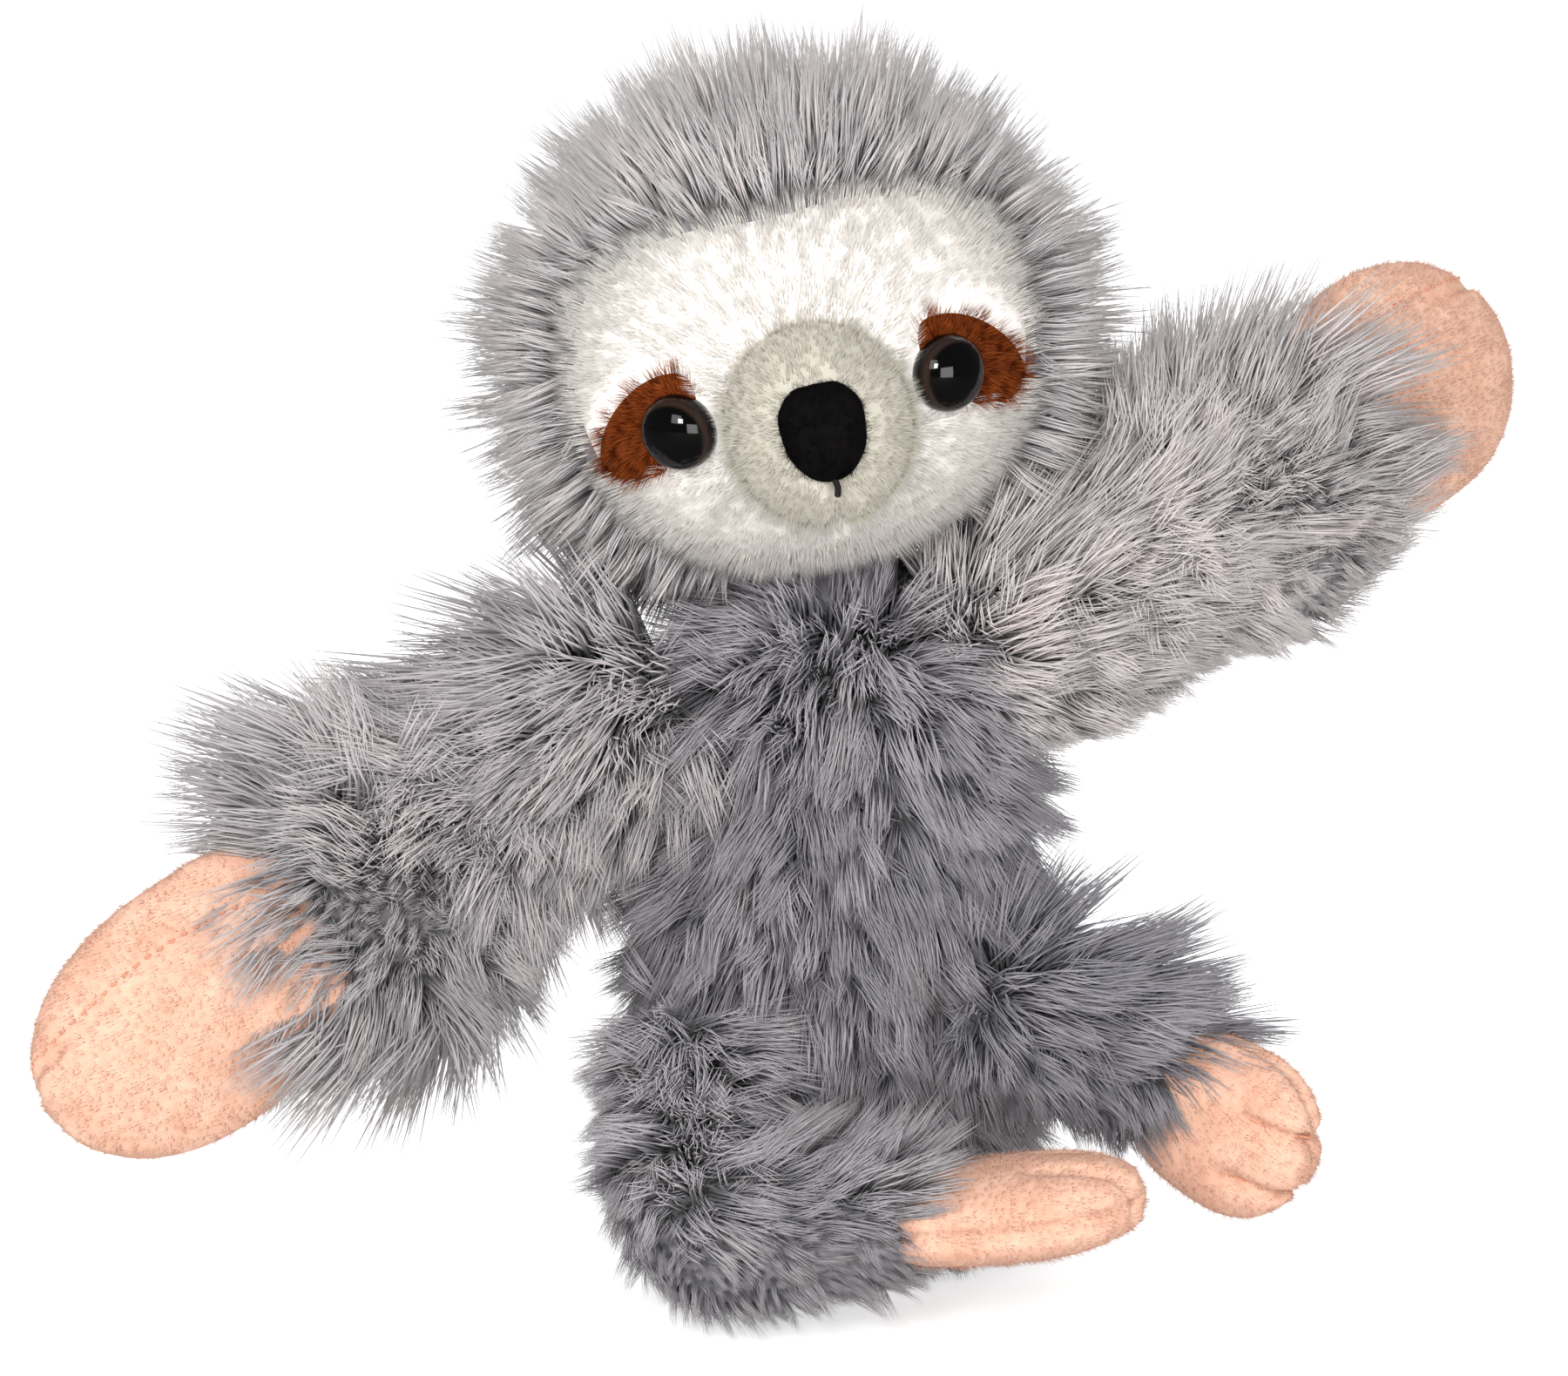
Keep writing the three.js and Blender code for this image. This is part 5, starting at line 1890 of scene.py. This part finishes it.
    def _hood(self) -> None:
        """The skull cloth and its long pile, planted outside the face."""
        grow = 1.2 * MM
        radii = (self.half_width + grow, self.half_depth + grow, self.half_height + grow)
        cloth = self._ball("head_cloth", radii, (0, 0, 0), 64, 48)
        GREY_BACKING.dress(cloth)
        own = self._own(corners_of(cloth)[0])
        share = np.where(own[:, 1] < 0, self.face_share(own[:, 0], own[:, 2]), 3.0)
        own -= unit(own) * (3.0 * MM * (1 - ramp(share, 0.93, 1.04)))[:, None]
        cloth.data.vertices.foreach_set("co", self._world(own).ravel())
        cloth.data.update()
        out = self._surface(cloth)[1]
        x, y, z = own.T
        radial = unit(own * FRONTAL)
        back = np.array([0.0, 1.0, 0.0])
        near = 1 - ramp(y, -24 * MM, 6 * MM)
        lay = unit(out * 0.85 + radial * (0.15 + 0.5 * near[:, None]) + back * (0.1 + 0.1 * near[:, None]))
        sweep = radial * 0.6 + back * 0.6 + np.array([0, 0, -0.15])
        chin = ramp(-z, 14 * MM, 30 * MM) * (1 - ramp(np.abs(x), 12 * MM, 30 * MM))
        under = ramp(-z, 17 * MM, 24 * MM) * (1 - ramp(np.abs(x), 16 * MM, 25 * MM))
        bare = under * (1 - ramp(y, 2 * MM, 14 * MM))
        cover = ramp(share, 0.99, 1.05) * (1 - bare)
        jowl = ramp(-z, 4 * MM, 20 * MM) * ramp(np.abs(x), 14 * MM, 28 * MM)
        tall = (0.7 + 0.3 * ramp(share, 1.0, 1.3)) * (1 - 0.3 * chin) * (1 + 0.22 * jowl)
        combing = Combing(self._turned(lay), self._turned(sweep), cover, tall)
        piles = {"pile": Pile(Lock.LONG, HEAD_LIT_PILE, 1.5 * MM, 18 * MM, clump=LONG_CLUMP, jitter=0.1,
                              stray=0.2, seed=71),
                 "undercoat": Pile(Lock.UNDER, HEAD_LIT_PILE, 1.6 * MM, 11 * MM, jitter=0.35, seed=72)}
        plant("head", cloth, combing, piles, "head", "head_skin")

    def _panel(self, name: str, run: Points, middle: tuple[float, float],
               front: Callable[[Points, Points, Points], Points],
               back: Callable[[Points, Points], Points], rows: int) -> Piece:
        """A closed panel over an outline in the face's plane.

        Args:
            name: the object's name.
            run: the outline, X and Z in the head's frame.
            middle: the outline's middle.
            front: the forward surface from X, Z and the share out to the edge.
            back: the rear surface.
            rows: rings from the middle out.

        Returns:
            The panel.
        """
        sides = len(run)
        centre = np.array(middle)
        rings = []
        for share in 1 - np.linspace(1, 0, rows)[1:] ** 1.4:
            spots = centre + (run - centre) * max(share, 0.01)
            y = -front(spots[:, 0], spots[:, 1], np.full(sides, share))
            rings.append(np.stack([spots[:, 0], y, spots[:, 1]], 1))
        for share in (0.98, 0.6):
            spots = centre + (run - centre) * share
            rings.append(np.stack([spots[:, 0], -back(spots[:, 0], spots[:, 1]), spots[:, 1]], 1))
        flat = np.array([middle[0]]), np.array([middle[1]])
        ends = [(middle[0], float(-front(*flat, np.zeros(1))[0]), middle[1]),
                (middle[0], float(-back(*flat)[0]), middle[1])]
        return closed_tube(name, self._world(np.array(rings)), self._world(np.array(ends)))

    def _face(self) -> None:
        """The white panel and its nap, brushed away from the muzzle."""
        high = np.where(self.face_run[:, 1] > 0, self.face_top, self.face_bottom)
        run = np.stack([self.face_run[:, 0] * self.face_half_width, self.face_run[:, 1] * high], 1)
        panel = self._panel(
            "face_cloth", run, (0.0, 0.0),
            lambda x, z, s: (self.depth(x, z, 0.0) + 0.3 * MM + 1.6 * MM * np.sqrt(np.maximum(0, 1 - s ** 8))
                             - 4 * MM * (1 - ramp(self._snout_share(x, z), 0.84, 0.97))),
            lambda x, z: self.depth(x, z, 0.0) - 5.0 * MM, 60)
        WHITE_BACKING.dress(panel)
        own, out = self._surface(panel)
        x, z = own[:, 0], own[:, 2]
        radial = unit(own * FRONTAL + np.array([0, 0, self.muzzle_drop]))
        lay = out * 0.7 + radial * 0.8
        for sign in (-1, 1):
            below = 1 - ramp(self._from_eye(x, z, sign), 1.1, 1.7)
            below = below * ramp(self.eye_rise - z, 1 * MM, 4 * MM)
            lay = lay + below[:, None] * (out * 0.4 - radial * 0.4 + np.array([0.0, 0.0, 0.7]))
        lay = unit(lay)
        cover = ramp(self._snout_share(x, z), 0.93, 1.0) * (out[:, 1] < 0.3)
        for sign in (-1, 1):
            cover = cover * ramp(self._brown_share(x, z, sign), 0.8, 0.98)
            cover = cover * ramp(self._from_eye(x, z, sign), 0.95, 1.05)
        tall = 0.9 + 0.35 * ramp(self.face_share(x, z), 0.8, 1.0)
        combing = Combing(self._turned(lay), self._turned(radial), cover, tall)
        piles = {"nap": Pile(Lock.NAP, WHITE_NAP, 0.56 * MM, 3.4 * MM, clump=2.0 * MM, jitter=0.15,
                             stray=0.1, gather=0.1, wave=NAP_WAVE, wave_size=260.0, seed=81)}
        plant("face", panel, combing, piles, "head", "face_panel")

    def _snout_share(self, x: Points, z: Points) -> Points:
        """How far out places lie in the muzzle's round, 1 on its edge."""
        return np.hypot(x / self.muzzle[0], (z + self.muzzle_drop) / self.muzzle[2])

    def _patch_share(self, x: Points, z: Points, sign: int) -> Points:
        """How far out places lie in an eye patch's oval, 1 on its edge.

        Args:
            x, z: the places in the head's frame.
            sign: 1 for the left patch, -1 for the right.

        Returns:
            The shares.
        """
        slant = math.radians(self.patch_slant)
        dx = sign * x - (self.eye_spacing / 2 + self.patch_out)
        dz = z - (self.eye_rise - self.patch_drop)
        long = dx * math.sin(slant) - dz * math.cos(slant)
        wide = dx * math.cos(slant) + dz * math.sin(slant)
        return np.hypot(long / self.patch_long, wide / self.patch_wide)

    def _brown_share(self, x: Points, z: Points, sign: int) -> Points:
        """How far out places lie in the part of a patch that the white nap leaves bare."""
        return self._patch_share(x - sign * self.brown_out, z - self.brown_up, sign)

    def _from_eye(self, x: Points, z: Points, sign: int) -> Points:
        """How far places lie from an eye's middle, 1 at its rim."""
        return np.hypot(x - sign * self.eye_spacing / 2, z - self.eye_rise) / self.eye_radius

    def _patch(self, side: str, sign: int) -> None:
        """A brown patch round an eye, with its nap.

        Args:
            side: right or left.
            sign: 1 for the left, -1 for the right.
        """
        slant = math.radians(self.patch_slant)
        middle = (sign * (self.eye_spacing / 2 + self.patch_out), self.eye_rise - self.patch_drop)
        angles = np.linspace(0, FULL_TURN, 72, endpoint=False)
        long, wide = self.patch_long * np.cos(angles), self.patch_wide * np.sin(angles)
        x = middle[0] + sign * (long * math.sin(slant) + wide * math.cos(slant))
        z = middle[1] - long * math.cos(slant) + wide * math.sin(slant)
        run = np.stack([x, z], 1)
        panel = self._panel(
            f"{side}_eye_patch_cloth", run, middle,
            lambda a, b, s: (self.depth(a, b, 0.0) + 1.4 * MM + 1.0 * MM * np.sqrt(np.maximum(0, 1 - s ** 6))
                             - 1.5 * MM * ramp(self._brown_share(a, b, sign), 0.85, 1.05)),
            lambda a, b: self.depth(a, b, 0.0) - 0.5 * MM, 26)
        BROWN_BACKING.dress(panel)
        own, out = self._surface(panel)
        away = unit(np.stack([own[:, 0] - sign * self.eye_spacing / 2, np.zeros(len(own)),
                              own[:, 2] - self.eye_rise], 1))
        lay = unit(out * 0.8 + away * 0.7)
        cover = ramp(self._from_eye(own[:, 0], own[:, 2], sign), 0.8, 0.95) * (out[:, 1] < 0.3)
        cover = cover * (1 - ramp(self._brown_share(own[:, 0], own[:, 2], sign), 0.8, 0.98))
        combing = Combing(self._turned(lay), self._turned(away), cover, np.ones(len(own)))
        piles = {"nap": Pile(Lock.NAP, BROWN_NAP, 0.5 * MM, 3.0 * MM, clump=2.0 * MM, jitter=0.25,
                             stray=0.25, gather=0.3, wave=NAP_WAVE, wave_size=300.0, seed=83)}
        plant(f"{side}_eye_patch", panel, combing, piles, "head", f"{side}_eye_patch")

    def _muzzle(self) -> None:
        """The muzzle with a pulled-in seam under the nose, and its nap."""
        middle = (0.0, -self.half_depth, -self.muzzle_drop)
        cloth = self._ball("muzzle_cloth", [r - 0.8 * MM for r in self.muzzle], middle, 64, 40)
        own = self._own(corners_of(cloth)[0])
        below = ramp(-own[:, 2] - self.muzzle_drop, 3 * MM, 9 * MM)
        pull = 1.5 * MM * np.exp(-(own[:, 0] / (1.0 * MM)) ** 2) * below
        own += unit(np.array(middle) - own) * pull[:, None]
        cloth.data.vertices.foreach_set("co", self._world(own).ravel())
        cloth.data.update()
        MUZZLE_BACKING.dress(cloth)
        own, out = self._surface(cloth)
        x, y, z = own.T
        away = unit(np.stack([x, np.zeros(len(x)), z + self.muzzle_drop], 1))
        lay = unit(out * 0.8 + away * 0.6)
        nose = np.hypot(x / self.nose_half_width, (z + self.muzzle_drop - self.nose_rise) / self.nose_top)
        cover = (y < -self.half_depth + 2 * MM) * ramp(nose, 0.75, 0.95)
        cover = cover * (1 - 0.7 * np.exp(-(x / (0.5 * MM)) ** 2) * (z < -8 * MM))
        combing = Combing(self._turned(lay), self._turned(away), cover, np.ones(len(x)))
        piles = {"nap": Pile(Lock.NAP, MUZZLE_NAP, 0.55 * MM, 2.5 * MM, clump=2.6 * MM, jitter=0.2,
                             stray=0.15, gather=0.15, wave=NAP_WAVE, wave_size=260.0, seed=85)}
        plant("muzzle", cloth, combing, piles, "head", "muzzle_panel")

    def muzzle_depth(self, x: Points, z: Points, grow: float) -> Points:
        """How far forward the muzzle lies at places on the face.

        Args:
            x, z: the places in the head's frame.
            grow: how much larger it is taken.

        Returns:
            The depths.
        """
        wide, deep, high = (size + grow for size in self.muzzle)
        share = 1 - (x / wide) ** 2 - ((z + self.muzzle_drop) / high) ** 2
        return self.half_depth + deep * np.sqrt(np.maximum(share, 0.0))

    def _nose(self) -> None:
        """The felt nose, a rounded triangle, and the short stitch below it."""
        outline = ((0, 0.97), (0.55, 0.9), (0.93, 0.5), (0.97, 0.0), (0.84, -0.48), (0.46, -0.88), (0, -1),
                   (-0.46, -0.88), (-0.84, -0.48), (-0.97, 0.0), (-0.93, 0.5), (-0.55, 0.9), (0, 0.97))
        shares = smooth_profile(outline, 91)[:-1]
        high = np.where(shares[:, 1] > 0, self.nose_top, self.nose_bottom)
        run = np.stack([shares[:, 0] * self.nose_half_width,
                        shares[:, 1] * high - self.muzzle_drop + self.nose_rise], 1)
        nose = self._panel(
            "nose_felt_piece", run, (0.0, self.nose_rise - self.muzzle_drop),
            lambda x, z, s: (self.muzzle_depth(x, z, 0.0) + 0.5 * MM
                             + 1.5 * MM * np.sqrt(np.maximum(0, 1 - s ** 4))),
            lambda x, z: self.muzzle_depth(x, z, 0.0) - 0.8 * MM, 30)
        NOSE_FELT.dress(nose)
        places, normals = corners_of(nose)
        down = along_surface(DOWN, normals)
        cover = 1.0 * (normals @ np.array(self.place.to_3x3().col[1]) < 0.35)
        combing = Combing(unit(normals * 0.8 + down * 0.3), down, cover, np.ones(len(places)))
        fuzz = Pile(Lock.FUZZ, NOSE_FUZZ, 0.42 * MM, 1.0 * MM, clump=2 * MM, jitter=0.6, stray=0.3,
                    wave=0.4 * MM, wave_size=500.0, seed=95)
        for piece in fuzz.grow("nose_fuzz", nose, combing):
            hand_over(piece, "head", ["nose"])
        hand_over(nose, "head", ["nose"])
        z = self.nose_rise - self.muzzle_drop - self.nose_bottom - np.linspace(-0.6 * MM, 2.4 * MM, 10)
        x = 0.25 * MM * np.sin(np.linspace(0, 3, 10))
        path = np.stack([x, -self.muzzle_depth(x, z, 0.6 * MM), z], 1)
        stitch = swept_form("mouth_stitch_sewn", self._world(path), np.full(10, self.stitch_radius), 8)
        BLACK_THREAD.dress(stitch)
        hand_over(stitch, "head", ["mouth_stitch"])

    def _eye(self, side: str, sign: int) -> None:
        """A domed safety eye on its shank, with its rings in its own map.

        Args:
            side: right or left.
            sign: 1 for the left, -1 for the right.
        """
        x = sign * self.eye_spacing / 2
        y = -float(self.depth(np.array([x]), np.array([self.eye_rise]), 0.0)[0])
        out = Vector((x / self.half_width ** 2, y / self.half_depth ** 2,
                      self.eye_rise / self.half_height ** 2))
        turn = UP.rotation_difference(out.normalized()).to_matrix().to_4x4()
        place = self.place @ Matrix.Translation((x, y, self.eye_rise)) @ turn
        stand, flange, dome = 0.9 * MM, 1.2 * MM, 4.6 * MM
        shank, shank_end, ledge, bevel = 2.2 * MM, -13 * MM, 5.4 * MM, 0.4 * MM
        profile = [(POLE_GAP, shank_end), (shank, shank_end), (shank, stand), (ledge, stand),
                   (self.eye_radius, stand + bevel), (self.eye_radius, stand + flange)]
        for lean in np.linspace(0, math.pi / 2, 22)[1:]:
            profile.append((max(self.eye_radius * math.cos(lean), 0.05 * MM),
                            stand + flange + dome * math.sin(lean)))
        sides = 48
        angles = np.linspace(0, FULL_TURN, sides, endpoint=False)
        cos, sin = np.cos(angles), np.sin(angles)
        rings = np.array([np.stack([r * cos, r * sin, np.full(sides, h)], 1) for r, h in profile])
        ends = np.array([(0, 0, profile[0][1]), (0, 0, profile[-1][1])])
        eye = closed_tube(f"{side}_eye_dome", placed(rings, place), placed(ends, place))
        self._ring_map(eye, place)
        EYE_PLASTIC.dress(eye)
        hand_over(eye, "head", [f"{side}_eye"])

    def _ring_map(self, eye: Piece, place: Matrix) -> None:
        """Gives an eye a map of turn across and radius up.

        Args:
            eye: the eye.
            place: its frame.
        """
        own = taken_back(corners_of(eye)[0], place)
        radius = np.hypot(own[:, 0], own[:, 1]) / self.eye_radius
        radius = np.where(own[:, 2] < 1.5 * MM, 1.0, radius)
        turn = np.arctan2(own[:, 1], own[:, 0]) / FULL_TURN + 0.5
        layer = eye.data.uv_layers.new(name=PILE_MAP)
        for face in eye.data.polygons:
            corners = [eye.data.loops[i].vertex_index for i in face.loop_indices]
            turns = np.array([turn[c] for c in corners])
            if turns.max() - turns.min() > 0.5:
                turns[turns < 0.5] += 1.0
            for loop, corner, across in zip(face.loop_indices, corners, turns):
                layer.data[loop].uv = (across * 0.9, min(radius[corner], 1.0))


@dataclass
class Inside:
    """Gives the solids that stay, inside the cloth, their materials."""

    finishes: dict[str, Finish] = field(default_factory=lambda: {
        "_filling": FIBRE_FILL, "_band": SPRING_STEEL, "_washer": WASHER_PLASTIC,
        "pellet_bag": PELLET_CLOTH, "neck_gather": GREY_BACKING})

    def build(self) -> None:
        """Dresses every solid by the end of its name."""
        for name, node in frame["nodes"].items():
            chosen = next((f for end, f in self.finishes.items() if name.endswith(end)), GREY_BACKING)
            chosen.dress(node)


@dataclass
class Studio:
    """A pale floor and backdrop, soft lamps and the camera at the photograph's angle."""

    target: Triple = (-0.00115, 0.0, 0.0945)
    elevation: float = 12.0
    distance: float = 0.9
    width: float = 0.2484
    sensor: float = 36.0
    lamps: tuple[tuple[str, Triple, float, float], ...] = (
        ("key", (-0.4, -0.9, 0.6), 0.45, 2.5), ("fill", (0.35, -0.98, 0.12), 0.6, 5.8),
        ("rim", (0.2, 0.9, 0.8), 0.8, 3.0), ("glint", (-0.2, -0.9, 0.5), 0.21, 4.2))

    def build(self) -> None:
        """Floor, world, lamps and camera."""
        self._floor()
        self._world()
        self._lamps()
        self._camera()
        bpy.context.scene.view_settings.view_transform = "Standard"

    def _floor(self) -> None:
        """A plain pale floor that looks white to the camera and keeps its soft shadow."""
        size = 6.0
        corners = np.array([(-size, -size, 0), (size, -size, 0), (size, size, 0), (-size, size, 0)])
        floor = new_piece("floor", corners, [(0, 1, 2, 3)])
        made = bpy.data.materials.new("floor_paper")
        made.use_nodes = True
        graph = Graph(made.node_tree)
        surface = made.node_tree.nodes["Principled BSDF"]
        place = graph.add("ShaderNodeTexCoord").out("Object")
        fleck = graph.add("ShaderNodeTexNoise", {}, {"Vector": place, "Scale": 60.0}).value(0)
        tone = graph.add("ShaderNodeMix", {"data_type": "RGBA"}, {
            "Factor": fleck, "A": (0.86, 0.86, 0.86), "B": (0.88, 0.88, 0.88)})
        surface.inputs["Roughness"].default_value = 0.9
        rays = graph.add("ShaderNodeLightPath")
        shown = graph.add("ShaderNodeMix", {"data_type": "RGBA"}, {
            "Factor": rays.value("Is Glossy Ray"), "A": tone.out("Result"), "B": (0.12, 0.12, 0.12)})
        graph.feed(surface.inputs["Base Color"], shown.out("Result"))
        graph.feed(surface.inputs["Emission Color"], self._grey(graph, rays.value("Is Camera Ray")))
        surface.inputs["Emission Strength"].default_value = 0.6
        floor.data.materials.append(made)

    @staticmethod
    def _grey(graph: Graph, level: Value) -> Socket:
        """A grey of a level as a colour."""
        shades = {"Red": level, "Green": level, "Blue": level}
        return graph.add("ShaderNodeCombineColor", {}, shades).out("Color")

    def _world(self) -> None:
        """Even white light, pure white where the camera sees it."""
        world = bpy.data.worlds.new("studio")
        bpy.context.scene.world = world
        world.use_nodes = True
        world.node_tree.nodes.clear()
        graph = Graph(world.node_tree)
        rays = graph.add("ShaderNodeLightPath")
        seen = rays.value("Is Camera Ray")
        mirrored = rays.value("Is Glossy Ray")
        strength = seen * 0.3 - mirrored * 0.6 + 0.7
        light = graph.add("ShaderNodeBackground", {}, {"Color": (1.0, 1.0, 1.0), "Strength": strength})
        graph.add("ShaderNodeOutputWorld", {}, {"Surface": light})

    def _lamps(self) -> None:
        """Large soft lamps in front and behind, and a small one that glints in the eyes."""
        aim = Vector(self.target)
        for name, place, size, power in self.lamps:
            lamp = bpy.data.lights.new(name, "AREA")
            lamp.shape = "SQUARE"
            lamp.size = size
            lamp.energy = power
            holder = bpy.data.objects.new(name, lamp)
            holder.location = place
            holder.rotation_euler = (aim - Vector(place)).to_track_quat("-Z", "Y").to_euler()
            bpy.context.scene.collection.objects.link(holder)

    def _camera(self) -> None:
        """The camera in front, a little above."""
        lens = bpy.data.cameras.new("camera")
        lens.sensor_width = self.sensor
        lens.lens = self.sensor * self.distance / self.width
        lens.clip_start = 0.05
        lens.clip_end = 50.0
        camera = bpy.data.objects.new("camera", lens)
        lean = math.radians(self.elevation)
        back = Vector((0.0, -math.cos(lean), math.sin(lean)))
        camera.location = Vector(self.target) + back * self.distance
        camera.rotation_euler = (-back).to_track_quat("-Z", "Y").to_euler()
        bpy.context.scene.collection.objects.link(camera)
        bpy.context.scene.camera = camera


RIGHT_LEG = Leg("right", ((-24, -19, 33), (-20, -41, 17), (6, -46, 18)), (16.5, 17.5, 15), (47, -49, 24),
                True, 40 * MM, 13.5 * MM, LEVEL_LEG_SHADED_PILE)
LEFT_LEG = Leg("left", ((29, -14, 42), (50, -19, 33)), (16.5, 15), (74, -34, 23), False, 31 * MM, 14 * MM,
               SPREAD_LEG_SHADED_PILE)


def main() -> None:
    """Builds the sloth and its studio in order."""
    logging.basicConfig(level=logging.INFO, format="%(name)s: %(message)s")
    Studio().build()
    Inside().build()
    Torso().build()
    Head().build()
    Arm("right", ARM_LIT_PILE, -12.0, 0.3, 1.0, 0.6).build()
    Arm("left", RAISED_ARM_LIT_PILE, -38.0, 0.5, 0.05, 0.0).build()
    RIGHT_LEG.build()
    LEFT_LEG.build()


if __name__ == "__main__":
    main()
